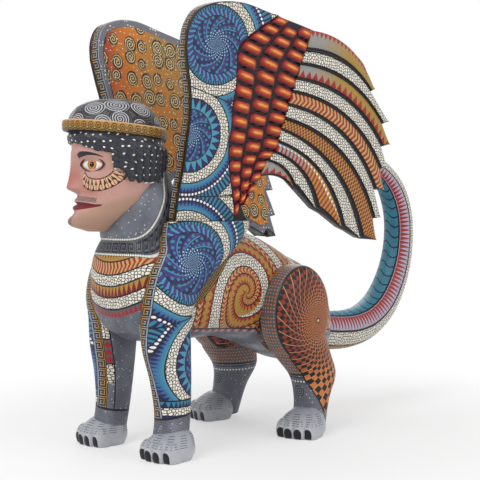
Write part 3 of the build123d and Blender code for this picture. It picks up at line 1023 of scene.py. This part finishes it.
# haunch: a flat disc lofted outwards, then a gentle dome to its middle
def haunchGrid():
    outs, longs, tall = columnsOf(hindleg["haunch"])
    at = np.linspace(outs[0], outs[-1], 60)
    long = smoothThrough(outs, longs, at)
    high = smoothThrough(outs, tall, at)
    dome = np.linspace(1, 0.02, 40)[1:]
    at = np.concatenate([at, outs[-1] + 3.2 * (1 - dome ** 2) ** 0.8])
    long = np.concatenate([long, longs[-1] * dome])
    high = np.concatenate([high, tall[-1] * dome])
    sideways, forwards = ovalTurn(140, 2.0)
    x = np.broadcast_to(at[:, None], (len(at), 140))
    y = toeLine + hindleg["haunchBack"] - long[:, None] * forwards
    z = hindleg["haunchHeight"] + high[:, None] * sideways
    return np.stack([x, y, z], -1), roundGuide(140, at)


paw = {
    "sections": ((0, 17, 16.5, 0), (6, 19.5, 18.8, 0), (13, 18.5, 18, 1), (19, 14.5, 14.5, 4), (24, 8, 9, 6)),
    "toes": ((-12.6, -9.5), (-4.4, -12.3), (4.6, -12.4), (12.8, -9.4)),
    "foreX": 42.0, "foreBack": 14.5, "foreTurn": 4.0, "hindX": 57.0, "hindBack": 154.0, "hindTurn": 16.0,
}


# the pad of a paw, narrowing upwards
def pawGrid(rows=40, columns=90):
    heights, wides, longs, shifts = columnsOf(paw["sections"])
    at = np.linspace(heights[0], heights[-1], rows)
    wide, long, shift = (smoothThrough(heights, v, at) for v in (wides, longs, shifts))
    sideways, forwards = ovalTurn(columns, 2.3)
    x = wide[:, None] * sideways
    y = shift[:, None] - long[:, None] * forwards
    return np.stack([x, y, np.broadcast_to(at[:, None], x.shape)], -1), roundGuide(columns, at)


# a toe: a rounded lump on the ground, longer than wide
def toeGrid(x, y, radius=6.6, stretch=1.25, rows=22, columns=36):
    lift = np.linspace(0, 1, rows)
    height = 15.5 * lift
    width = radius * np.sqrt(np.clip(1 - ((height - 6.0) / 10.2) ** 2, 0.02, 1))
    sideways, forwards = ovalTurn(columns, 2.4)
    px = x + width[:, None] * sideways
    py = y - width[:, None] * stretch * forwards
    return np.stack([px, py, np.broadcast_to(height[:, None], px.shape)], -1), roundGuide(columns, height)


# turns grids about the vertical and puts them on the ground at a spot
def placeOnGround(grid, x, back, degrees):
    a = math.radians(degrees)
    px = x + grid[..., 0] * math.cos(a) - grid[..., 1] * math.sin(a)
    py = toeLine + back + grid[..., 0] * math.sin(a) + grid[..., 1] * math.cos(a)
    return np.stack([px, py, grid[..., 2]], -1)


for side, flip in (("left", False), ("right", True)):
    turned = mirrored if flip else (lambda grid: grid)
    for name, node, shape in (
            ("foreleg", "foreleg_", legGrid(foreleg["sections"], foreleg["rows"], foreleg["columns"],
                                            foreleg["bandLine"])),
            ("shank", "hind_leg_", legGrid(hindleg["shank"], 90, 110)),
            ("haunch", "hind_leg_", haunchGrid())):
        piece = putSurface(name + "_" + side + "_carving", turned(shape[0]), shape[1], finish[name])
        claim(piece, "figure", node + side)
    for name, node in (("fore", "foreleg_"), ("hind", "hind_leg_")):
        grids, guides = zip(pawGrid(), *[toeGrid(*spot) for spot in paw["toes"]])
        spot = (paw[name + "X"], paw[name + "Back"], paw[name + "Turn"])
        grids = [turned(placeOnGround(grid, *spot)) for grid in grids]
        claim(putMany(name + "_paw_" + side, grids, guides, finish["paw"]), "figure", node + side)

for piece in (makeTrunk(), makeNeck()):
    claim(piece, "figure", "torso")
print("body carved")


tail = {
    "course": ((225, 82, 18), (256, 78.5, 18.5), (281, 78, 18.4), (306, 82.5, 18), (331, 96, 17.3),
               (350, 118, 16.4),
               (361, 141, 15.6), (366, 167, 15), (364.5, 191, 14.6), (356, 212, 13.8), (341, 229, 12),
               (322, 240, 9.5), (304, 245, 6.5)),  # back, height, radius
    "rows": 220, "columns": 64,
}


# tail: circles carried along the course, their plane kept square to it
def makeTail():
    course = np.array(tail["course"], float)
    steps = np.concatenate([[0], np.cumsum(np.hypot(np.diff(course[:, 0]), np.diff(course[:, 1])))])
    at = np.linspace(0, steps[-1], tail["rows"])
    line = smoothThrough(steps, course, at)
    heading = np.gradient(line[:, :2], axis=0)
    heading /= np.linalg.norm(heading, axis=1)[:, None]
    turn = np.linspace(0, 2 * np.pi, tail["columns"], endpoint=False)
    inward = np.stack([-heading[:, 1], heading[:, 0]], -1)  # points to the inside of the bend
    radius = line[:, 2:3]
    x = radius * np.sin(turn)
    y = toeLine + line[:, 0:1] + radius * np.cos(turn) * inward[:, 0:1]
    z = line[:, 1:2] + radius * np.cos(turn) * inward[:, 1:2]
    guide = roundGuide(tail["columns"], at)
    piece = putSurface("tail_carving", np.stack([x, y, z], -1), guide, finish["tail"])
    claim(piece, "tail", "tail")


makeTail()
print("tail carved")


head = {
    "turn": -28.0, "pivotBack": 16.0,
    "sections": ((178, -40, -22, 7), (182, -51, -14, 13), (187, -53, -6, 18.5), (198, -48.5, 11, 25),
                 (212, -47.5, 18.5, 28.5), (228, -48.5, 21, 30.5), (243, -51.5, 22.0, 32),
                 (252, -54, 21.0, 32),
                 (262, -54, 19, 31.5), (271, -53, 17, 30)),  # height, front, rear, half width
    "rows": 170, "columns": 260, "perDegree": 0.52,  # millimetres of guide to a degree round the face
}


# from the head's own frame (front is minus y) to the object's
def headPlace(x, y, z):
    a = math.radians(head["turn"])
    pivotY = toeLine + head["pivotBack"]
    return np.stack([x * math.cos(a) - y * math.sin(a), pivotY + x * math.sin(a) + y * math.cos(a), z], -1)


# the skull's oval at each height: centre, half length and half width
def skullAt(z):
    heights, fronts, rears, wides = columnsOf(head["sections"])
    front, rear, wide = (smoothThrough(heights, v, z) for v in (fronts, rears, wides))
    return (front + rear) / 2, (rear - front) / 2, wide


# face: the skull pushed out at brow, nose, cheeks, lips and chin, and in at the eyes
def faceRelief(u, z):
    side = np.abs(u)
    push = 2.4 * bell(z, 240.5, 4.0) * bell(side, 15.0, 12.0)
    push -= 2.6 * bell(z, 231.5, 6.5) * bell(side, 20.5, 10.0)
    bridge = ease(206.5, 213.5, z) * (1 - ease(236, 248, z))
    tall = 9.5 - (z - 213.5) * 0.25
    wide = 3.6 + 2.6 * bell(z, 213, 6.0)
    push += bridge * np.clip(tall, 3.0, 10.0) * bell(side, 0, wide)
    push += 2.6 * bell(z, 211.5, 3.2) * bell(side, 6.0, 2.8)
    push += 1.8 * bell(z, 219, 8.0) * bell(side, 22.0, 8.0)
    lipWide = bell(side, 0, 10.5)
    push += lipWide * (3.0 * bell(z, 202.8, 2.4) + 3.2 * bell(z, 197.3, 2.6) - 1.6 * bell(z, 200.1, 0.9))
    push -= 1.2 * bell(z, 192.0, 2.4) * bell(side, 0, 9)
    push += 3.0 * bell(z, 186.0, 4.6) * bell(side, 0, 9.0)
    push -= 0.9 * bell(side, 0, 1.6) * bell(z, 206.5, 2.6)
    return push


# a shell round the head: push is how far it stands out from the skull, by face angle and height
def headGrid(heights, columns, push):
    turn = np.arange(columns) / columns * 2 * np.pi - np.pi  # 0 is the middle of the face
    z = heights[:, None] * np.ones(columns)
    u = np.degrees(turn)[None, :] * head["perDegree"] * np.ones((len(heights), 1))
    centre, long, wide = (v[:, None] for v in skullAt(heights))
    sideways, forwards = signedPower(np.sin(turn), 2 / 2.2), signedPower(np.cos(turn), 2 / 2.2)
    out = push(u, z)
    x = (wide + out) * sideways
    y = centre - (long + out) * forwards
    guideU = np.linspace(-180, 180, columns + 1)[None, :] * head["perDegree"] * np.ones((len(heights), 1))
    guide = np.stack([guideU, np.broadcast_to(heights[:, None], guideU.shape)], -1)
    return headPlace(x, y, z), guide


band = {"low": 253.4, "deep": 9.0, "tilt": 5.0, "centre": -17.8, "halfLength": 41.5, "halfWidth": 34.5}


# hair: locks that hang to the jaw at the sides and back, and a scalloped fringe over the brow
def hairPush(u, z):
    side = np.abs(u)
    lobe = np.abs(np.sin(side * np.pi / 5.2))  # one hanging lock every 5.2
    fringe = 248.8 - 7.5 * ease(8, 34, side) - 1.2 * np.abs(np.sin(side * np.pi / 8.0))
    temple = 228.5 - 2.0 * lobe
    hanging = 222.0 - 4.0 * lobe ** 0.6 - 2.0 * ease(40, 60, side)
    edge = fringe + (temple - fringe) * ease(37.4, 38.6, side)
    edge = edge + (hanging - edge) * ease(44.4, 45.6, side)
    cover = ease(-1.0, 1.0, z - edge)
    low = 1 - ease(238, 248, z)
    curl = low * ease(37, 41, side) * (2.3 * lobe ** 0.7 - 0.9) + 0.2 * np.cos(z * 1.3 + side)
    bandFoot = band["low"] + 5.0 * np.cos(u / head["perDegree"] * np.pi / 180)
    under = 1 - 0.85 * ease(bandFoot - 5.0, bandFoot, z)
    return cover * (1.9 + curl) * under - (1 - cover) * 5.0


# a piece of the head's
def claimHead(piece):
    return claim(piece, "figure", "head")


# face and hair: two shells round the skull
def makeHead():
    heights = np.linspace(178, 262, head["rows"])
    grid, guide = headGrid(heights, head["columns"], faceRelief)
    claimHead(putSurface("face_carving", grid, guide, finish["face"]))
    heights = np.linspace(214, 264, 120)
    grid, guide = headGrid(heights, 280, hairPush)
    claimHead(putSurface("hair_carving", grid, guide, finish["hair"]))


# headband: a rounded strip carried round the brow, higher in front
def makeBand():
    columns = 200
    turn = np.arange(columns) / columns * 2 * np.pi
    profile = np.linspace(0, 2 * np.pi, 28, endpoint=False)
    outwards = 2.2 * np.sign(np.cos(profile)) * np.abs(np.cos(profile)) ** 0.6
    upwards = band["deep"] / 2 * np.sign(np.sin(profile)) * np.abs(np.sin(profile)) ** 0.6
    x = (band["halfWidth"] - 1 + outwards[None, :]) * np.sin(turn)[:, None]
    y = band["centre"] - (band["halfLength"] - 1 + outwards[None, :]) * np.cos(turn)[:, None]
    z = band["low"] + band["deep"] / 2 + upwards[None, :] - y * math.tan(math.radians(band["tilt"]))
    around = np.linspace(0, 245.0, columns + 1)
    across = np.clip(0.5 + upwards / band["deep"], 0, 1)
    guide = np.zeros((columns, 28, 4, 2))
    guide[..., 0, 0] = guide[..., 1, 0] = around[:-1, None]
    guide[..., 2, 0] = guide[..., 3, 0] = around[1:, None]
    guide[..., 0, 1] = guide[..., 3, 1] = across
    guide[..., 1, 1] = guide[..., 2, 1] = np.roll(across, -1)
    claimHead(putRing("headband", headPlace(x, y, z), finish["band"], guide.reshape(-1, 2)))


# cap: a low dome above the band
def makeCap():
    lift = np.linspace(0, 1, 60)
    bend = lift * np.pi / 2
    columns = 140
    turn = np.arange(columns) / columns * 2 * np.pi
    wide = (band["halfWidth"] - 2.5) * np.cos(bend) ** 0.75
    long = (band["halfLength"] - 2.5) * np.cos(bend) ** 0.75
    wide[-1], long[-1] = 0.3, 0.3
    base = band["low"] + 3.0
    x = wide[:, None] * np.sin(turn)
    y = band["centre"] - long[:, None] * np.cos(turn)
    rise = 284.6 - base
    tiltAway = (1 - lift)[:, None] * -y * math.tan(math.radians(band["tilt"]))
    z = base + rise * np.sin(bend)[:, None] + tiltAway
    closed = np.append(turn, 2 * np.pi)
    fromTop = ((1 - lift) * 42.0)[:, None]
    guideU, guideV = fromTop * np.sin(closed), fromTop * 1.1 * np.cos(closed)
    claimHead(putSurface("cap", headPlace(x, y, z), np.stack([guideU, guideV], -1), finish["cap"]))


eye = {"angle": 21.5, "height": 231.2, "half": 10.8, "tall": 5.3, "lid": 0.8}


# an eye: a shallow almond dome, and a raised lid line round it
def makeEyes():
    for side in (-1, 1):
        turn = np.radians(side * eye["angle"] / head["perDegree"])
        centre, long, wide = (float(v[0]) for v in skullAt(np.array([eye["height"]])))
        sx = math.sin(turn)
        cx = math.cos(turn)
        middle = np.array([(wide - 2.0) * np.sign(sx) * abs(sx) ** 0.91,
                           centre - (long - 2.0) * cx ** 0.91, eye["height"]])
        facing = np.array([sx / wide, -cx / long, 0.0])
        facing /= np.linalg.norm(facing)
        sideways = np.array([-facing[1], facing[0], 0.0])
        upwards = np.array([0.0, 0.0, 1.0])

        # a place by across, up and out from the eye, in the object
        def onFace(u, v, depth):
            local = middle + u[..., None] * sideways + v[..., None] * upwards + depth[..., None] * facing
            return headPlace(local[..., 0], local[..., 1], local[..., 2])

        rim = np.linspace(0, 2 * np.pi, 48, endpoint=False)
        spread = np.linspace(1.0, 0.02, 16)[:, None]
        u = eye["half"] * spread * np.cos(rim)
        v = eye["tall"] * spread * np.sin(rim) * (1 - 0.25 * np.abs(np.cos(rim)) ** 3)
        depth = 3.0 * np.sqrt(np.clip(1 - spread ** 2, 0, 1)) * np.ones_like(rim) - 2.0
        guide = np.stack([np.concatenate([u, u[:, :1]], 1), np.concatenate([v, v[:, :1]], 1)], -1)
        name = "eye_left" if side > 0 else "eye_right"
        claimHead(putSurface(name, onFace(u, v, depth), guide, finish["eye"]))
        # the lid line: a thin round bead along the almond
        ru = (eye["half"] + 0.2) * np.cos(rim)
        rv = (eye["tall"] + 0.2) * np.sin(rim) * (1 - 0.25 * np.abs(np.cos(rim)) ** 3)
        spin = np.linspace(0, 2 * np.pi, 8, endpoint=False)
        swell = 1 + eye["lid"] * np.cos(spin)[None, :] / eye["half"]
        depth = eye["lid"] * np.sin(spin)[None, :] + 0.3 * np.ones((len(rim), 1))
        bead = onFace(ru[:, None] * swell, rv[:, None] * swell, depth)
        claimHead(putRing(name.replace("eye", "lid"), bead, finish["rim"]))


makeHead()
makeBand()
makeCap()
makeEyes()
print("head carved")


wing = {
    "border": 6.5, "splay": 7.0, "lean": 7.5, "footX": 44.2, "footBack": 18.8,
    "footHeight": 186.0, "thick": 11.0,
    "front": ((0, 0), (1.5, 23), (4, 42), (6, 66), (7, 86), (5.5, 103), (1.5, 120), (-2, 138)),
    "top": ((-2, 138), (-0.5, 152), (7.5, 166), (25, 174), (47, 176.5), (81, 171), (123.5, 163),
            (164, 152.5), (189, 139.5), (204, 118)),
    "tips": ((204, 118), (201, 114.5), (226, 89.5), (218.5, 86.5), (230, 69), (220, 66), (229.5, 48.5),
             (221, 45.5), (227.5, 27.5), (216, 27), (227, 2), (218, 0.5), (224, -19), (211, -11.5),
             (204, -17.5), (189.5, -11), (180, -7.5), (159, 4.5), (147, 9.5), (114, 35), (98, 41),
             (83, 38.5), (71, 29), (66.5, 13), (74, 0)),
    "tileFront": ((88, 170.5), (66, 156), (49, 140), (49, 124.3), (49.4, 108.4), (47.7, 94.6), (48.3, 78.5),
                  (46.9, 62.3), (48.1, 50.2), (50.3, 38.0), (53.6, 25.8), (57, 12), (58, 1)),
    "tileBack": ((126.5, 161.5), (122.3, 143.4), (118.0, 132.1), (115.1, 119.3), (111.9, 108.3),
                 (107.6, 97.1),
                 (106.7, 85.3), (102.2, 76.7), (101.2, 65.8), (97.8, 57.3), (89.9, 50.4), (83, 36), (68, 15)),
    "notches": ((201, 114.5), (218.5, 86.5), (220, 66), (221, 45.5), (216, 27), (218, 0.5), (189.5, -11),
                (159, 4.5), (114, 35)),
    "featherTips": ((204, 118), (226, 89.5), (230, 69), (229.5, 48.5), (227.5, 27.5), (227, 2), (224, -19),
                    (204, -17.5), (180, -7.5), (147, 9.5), (120, 27)),
}


# from a wing's own board (along, up, out) to the object; the far wing is its mirror
def wingPlace(along, up, out, far):
    phi, lean = math.radians(wing["splay"]), math.radians(wing["lean"])
    a = np.array([math.sin(phi), math.cos(phi), 0])
    u = np.array([math.cos(phi) * math.sin(lean), -math.sin(phi) * math.sin(lean), math.cos(lean)])
    o = np.array([math.cos(phi) * math.cos(lean), -math.sin(phi) * math.cos(lean), -math.sin(lean)])
    foot = np.array([wing["footX"], toeLine + wing["footBack"], wing["footHeight"]])
    along, up, out = np.broadcast_arrays(along, up, out)
    place = foot + along[..., None] * a + up[..., None] * u + out[..., None] * o
    return mirrored(place) if far else place


# a flat outline with rounded rims, made as a filled curve and then a mesh in the wing's plane
def putBoard(name, outline, low, high, rim, far, slots):
    curve = bpy.data.curves.new(name, "CURVE")
    curve.dimensions = "2D"
    curve.fill_mode = "BOTH"
    curve.extrude = max((high - low) / 2 - rim, 0.01)
    curve.bevel_depth = rim
    curve.offset = -rim
    curve.bevel_resolution = 3
    spline = curve.splines.new("POLY")
    spline.points.add(len(outline) - 1)
    placed = np.column_stack([outline, np.zeros(len(outline)), np.ones(len(outline))])
    spline.points.foreach_set("co", placed.ravel())
    spline.use_cyclic_u = True
    holder = bpy.data.objects.new(name, curve)
    bpy.context.scene.collection.objects.link(holder)
    bpy.context.view_layer.update()
    flat = bpy.data.meshes.new_from_object(holder.evaluated_get(bpy.context.evaluated_depsgraph_get()))
    points = np.zeros(len(flat.vertices) * 3)
    flat.vertices.foreach_get("co", points)
    points = points.reshape(-1, 3)
    faces = [list(face.vertices) for face in flat.polygons]
    bpy.data.objects.remove(holder)
    bpy.data.curves.remove(curve)
    bpy.data.meshes.remove(flat)
    out = points[:, 2] + (low + high) / 2
    placed = wingPlace(points[:, 0], points[:, 1], out, far)
    kinds, corners, keep = [], [], []
    for face in faces:
        if len(set(face)) < 3:
            continue
        level = out[face]
        if level.min() > high - 0.05:
            kinds.append(0)
            corners.append(points[face, :2])
        elif level.max() < low + 0.05:
            kinds.append(1)
            corners.append(points[face, :2])
        else:
            kinds.append(2)
            along = points[face, 1] + points[face, 0] * 0.3
            corners.append(np.stack([along, (out[face] - low) / (high - low)], -1))
        keep.append(face)
    piece = putClosed(name, placed, keep, np.vstack(corners), slots, kinds)
    piece.data.polygons.foreach_set("use_smooth", [kind == 2 for kind in kinds])
    return piece


# a closed outline drawn in by one distance, each point along its own inward normal, with spurs dropped
def insetLine(outline, distance):
    closed = np.vstack([outline, outline[:1]])
    steps = runAlong(closed)
    at = np.linspace(0, steps[-1], 260, endpoint=False)
    line = np.stack([np.interp(at, steps, closed[:, 0]), np.interp(at, steps, closed[:, 1])], -1)
    ahead = np.roll(line, -3, axis=0) - np.roll(line, 3, axis=0)
    ahead /= np.linalg.norm(ahead, axis=1)[:, None]
    moved = line + distance * np.stack([ahead[:, 1], -ahead[:, 0]], -1)
    gap = np.linalg.norm(moved[:, None, :] - line[None, :, :], axis=2).min(1)
    return moved[gap > distance * 0.93]


# points on a smooth curve through an open list
def smoothLine(points, count):
    points = np.array(points, float)
    steps = runAlong(points)
    return smoothThrough(steps, points, np.linspace(0, steps[-1], count))


# a pillow: a closed loop of rows over a patch, domed in the middle, with a flat back
def pillowGrid(corner, low, high, rows, columns, far):
    u = np.linspace(0, 1, columns)
    around = np.concatenate([u, u[::-1]])
    top = np.concatenate([np.ones(columns), np.zeros(columns)])
    v = np.linspace(0, 1, rows)
    a, b, c, d = (np.array(p, float) for p in corner)
    across, down = np.meshgrid(around, v)
    flat = (a * ((1 - across) * (1 - down))[..., None] + b * (across * (1 - down))[..., None]
            + c * (across * down)[..., None] + d * ((1 - across) * down)[..., None])
    dome = (1 - np.abs(2 * across - 1) ** 3) ** 0.5 * (1 - np.abs(2 * down - 1) ** 4) ** 0.5
    out = low + (high - low) * dome * top
    guide = np.stack([np.concatenate([each, each[:, :1]], 1) for each in (down, across)], -1)
    return wingPlace(flat[..., 0], flat[..., 1], out, far), guide


tiles = {"columns": 3, "rows": 15, "low": -3.0, "high": 1.4}


# the tiles: rows between the two long lines of the panel, the middle column half a tile lower
def makeTiles(far, body, node):
    front = smoothLine(wing["tileFront"], tiles["rows"] * 4 + 1)
    back = smoothLine(wing["tileBack"], tiles["rows"] * 4 + 1)
    grids, guides = [], []
    for column in range(tiles["columns"]):
        for row in range(tiles["rows"]):
            start = row * 4 + (2 if column == 1 else 0)
            end = start + 4
            if end > len(front) - 1:
                continue
            left, right = column / 3, (column + 1) / 3

            # a share of the way from the front line to the back one
            def spot(share, step):
                return front[step] * (1 - share) + back[step] * share

            upper = [spot(left, start), spot(right, start)]
            lower = [spot(right, end), spot(left, end)]
            middle = (upper[0] + upper[1] + lower[0] + lower[1]) / 4
            tall = (upper[0] + upper[1] - lower[0] - lower[1]) / 2
            wide = (upper[1] + lower[0] - upper[0] - lower[1]) / 2
            corner = [middle + wide * a * 0.505 + tall * b * 0.49
                      for a, b in ((-1, 1), (1, 1), (1, -1), (-1, -1))]
            grid, guide = pillowGrid(corner, tiles["low"], tiles["high"], 7, 7, far)
            grids.append(grid)
            guides.append(guide)
    piece = putMany("tiles_" + node, grids, guides, finish["tile"])
    claim(piece, body, node)


feather = {"bulge": 0.10, "rows": 70}


# the line between two feathers: an arc from the tiles, then straight on to the tip of the feather
# that it bounds
def featherEdge(number, tip):
    tips = wing["featherTips"]
    start = np.array(wing["tileBack"][number], float) - np.array([2.5, 0.0])
    last = wing["notches"][number - 1] if 0 < number < 7 else tips[min(number, 10)]
    end = np.array(last, float)
    v = np.linspace(0, 1, 50)
    chord = end - start
    side = np.array([-chord[1], chord[0]])
    bulge = feather["bulge"] + (0.04 if number == 0 else 0.004 * number)
    line = start + v[:, None] * chord + (4 * v * (1 - v) * bulge)[:, None] * side
    if number > 7 and tip[0] > end[0] + 0.1:  # lower edges turn out past a notch before their own tip
        notch = np.array(wing["notches"][number - 2], float)
        line = np.vstack([line, end + np.linspace(0, 1, 8)[1:, None] * (notch - end)])
        end = notch
    if np.linalg.norm(end - tip) > 0.1:
        line = np.vstack([line, end + np.linspace(0, 1, 12)[1:, None] * (tip - end)])
    steps = runAlong(line)
    at = np.linspace(0, steps[-1], feather["rows"])
    return np.stack([np.interp(at, steps, line[:, 0]), np.interp(at, steps, line[:, 1])], -1), at


# a feather: a strip between its two edges, thick at its lower side, with a dark sill below
def featherGrid(number, far):
    tip = np.array(wing["featherTips"][number], float)
    upper, along = featherEdge(number, tip)
    lower = featherEdge(number + 1, tip)[0]
    v = np.linspace(0, 1, feather["rows"])
    profile = np.array([(0.0, -2.2), (0.0, -1.2), (0.06, -0.5), (0.3, 0.3), (0.55, 0.7), (0.79, 0.8),
                        (0.825, 0.3), (0.84, -0.9), (0.92, -1.2), (0.97, -1.6), (1.0, -2.6),
                        (0.6, -3.2), (0.3, -3.2)])
    share, rise = profile[:, 0], profile[:, 1]
    flat = upper[:, None, :] * (1 - share)[None, :, None] + lower[:, None, :] * share[None, :, None]
    out = rise[None, :] + 0.6 * (1 - v)[:, None]
    guideAcross = np.append(np.where(rise < -2.5, 1.0, share), 0.0)
    guide = np.stack([np.broadcast_to(along[:, None], (len(v), len(share) + 1)),
                      np.broadcast_to(guideAcross, (len(v), len(share) + 1))], -1)
    return wingPlace(flat[..., 0], flat[..., 1], out, far), guide


# a wing: a board, its two panels, its tiles and its feathers
def makeWing(side, far):
    body = side + "_wing"
    node = "wing_" + side
    front = smoothLine(wing["front"], 40)
    top = smoothLine(wing["top"], 60)
    tips = np.array(wing["tips"], float)
    outline = np.vstack([front, top[1:], tips[1:]])
    board = putBoard("board_" + side, outline, -wing["thick"], -2.0, 1.0, far,
                     [finish["dark"], finish["border"], finish["edge"]])
    inner = putBoard("spiral_panel_" + side, insetLine(outline, wing["border"]),
                     -wing["thick"] - 0.5, -wing["thick"] + 1, 0.4, far,
                     [finish["dark"], finish["wingInner"], finish["dark"]])
    split = smoothLine(wing["tileFront"], 60)
    panelTop = smoothLine(wing["top"][:6], 40)
    panelTop = panelTop[panelTop[:, 0] < 87]
    panel = np.vstack([front, panelTop[1:], split, [(60, 0)]])
    flowers = putBoard("flower_panel_" + side, panel, -4.0, 0.0, 0.7, far,
                       [finish["wingFront"], finish["dark"], finish["dark"]])
    for piece in (board, flowers, inner):
        claim(piece, body, node)
    makeTiles(far, body, node)
    for number, kind in enumerate(featherKinds):
        grid, guide = featherGrid(number, far)
        claim(putSurface("feather_%s_%d" % (side, number + 1), grid, guide, finish[kind]), body, node)


makeWing("left", False)
makeWing("right", True)
print("wings carved")


for name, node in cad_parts.items():
    if "dowel" in name or "peg" in name:
        for slot in node.material_slots:
            slot.material = finish["wood"]


view = {"azimuth": 45.2, "back": (694.3, -724.8, 198.9), "lens": 82.5, "shift": -0.0719}


# each lamp: name, place, what it points at, power and width, in metres and watts
lamps = (("key", (0.2, -1.1, 1.3), (0, 0, 0.15), 11.0, 0.9),
         ("fill", (1.5, 0.3, 0.8), (0, 0, 0.15), 7.0, 1.2),
         ("back", (-1.2, 0.9, 1.0), (0, 0, 0.2), 6.0, 1.0))


# one for the rays that show the plain backdrop: straight from the camera, in gloss and through glass
def backdropRays():
    rays = current["tree"].nodes.new("ShaderNodeLightPath")
    return either(*(Field(rays.outputs["Is %s Ray" % kind]) for kind in ("Camera", "Glossy", "Transmission")))


# the floor: pale and matt near the object, where it takes the shadow, and plain white further off
def floorPaint():
    material = bpy.data.materials.new("paleFloor")
    material.use_nodes = True
    tree = material.node_tree
    current["tree"] = tree
    shader = tree.nodes["Principled BSDF"]
    shader.inputs["Base Color"].default_value = (0.88, 0.88, 0.88, 1)
    shader.inputs["Roughness"].default_value = 0.8
    shader.inputs["Specular IOR Level"].default_value = 0.1
    glow = tree.nodes.new("ShaderNodeEmission")
    x, y = placeFields()[1:3]
    seen = backdropRays()
    away = tree.nodes.new("ShaderNodeMapRange")
    away.interpolation_type = "SMOOTHSTEP"
    away.inputs["From Min"].default_value = 150.0
    away.inputs["From Max"].default_value = 420.0
    away.inputs["To Min"].default_value = 0.45
    tree.links.new(length(x, y).socket, away.inputs["Value"])
    mix = tree.nodes.new("ShaderNodeMixShader")
    tree.links.new((Field(away.outputs[0]) * seen).socket, mix.inputs[0])
    tree.links.new(shader.outputs[0], mix.inputs[1])
    tree.links.new(glow.outputs[0], mix.inputs[2])
    tree.links.new(mix.outputs[0], tree.nodes["Material Output"].inputs["Surface"])
    return material


# the camera, the floor, three soft lamps and a white world
def makeStage():
    camera = bpy.data.cameras.new("camera")
    camera.lens = view["lens"]
    camera.sensor_width = 36.0
    camera.shift_y = view["shift"]
    camera.clip_end = 50.0
    holder = bpy.data.objects.new("camera", camera)
    holder.location = np.array(view["back"]) * metre
    holder.rotation_euler = (math.radians(90), 0, math.radians(view["azimuth"]))
    bpy.context.scene.collection.objects.link(holder)
    bpy.context.scene.camera = holder
    floor = bpy.data.meshes.new("floor")
    floor.from_pydata([(-6, -6, 0), (6, -6, 0), (6, 6, 0), (-6, 6, 0)], [], [(0, 1, 2, 3)])
    ground = bpy.data.objects.new("floor", floor)
    bpy.context.scene.collection.objects.link(ground)
    floor.materials.append(floorPaint())
    for name, place, aim, power, width in lamps:
        lamp = bpy.data.lights.new(name, "AREA")
        lamp.energy = power
        lamp.size = width
        stand = bpy.data.objects.new(name, lamp)
        stand.location = place
        way = np.array(aim) - np.array(place)
        tilt = math.acos(-way[2] / np.linalg.norm(way))
        stand.rotation_euler = (tilt, 0, math.atan2(way[1], way[0]) - math.pi / 2)
        bpy.context.scene.collection.objects.link(stand)
    world = bpy.data.worlds.new("studio")
    bpy.context.scene.world = world
    world.use_nodes = True
    tree = world.node_tree
    background = tree.nodes["Background"]
    current["tree"] = tree
    strength = 0.55 + backdropRays() * 0.45  # the world lights at the first number and shows as white
    tree.links.new(strength.socket, background.inputs["Strength"])
    background.inputs["Color"].default_value = (1, 1, 1, 1)


makeStage()
bpy.context.scene.view_settings.view_transform = "Standard"
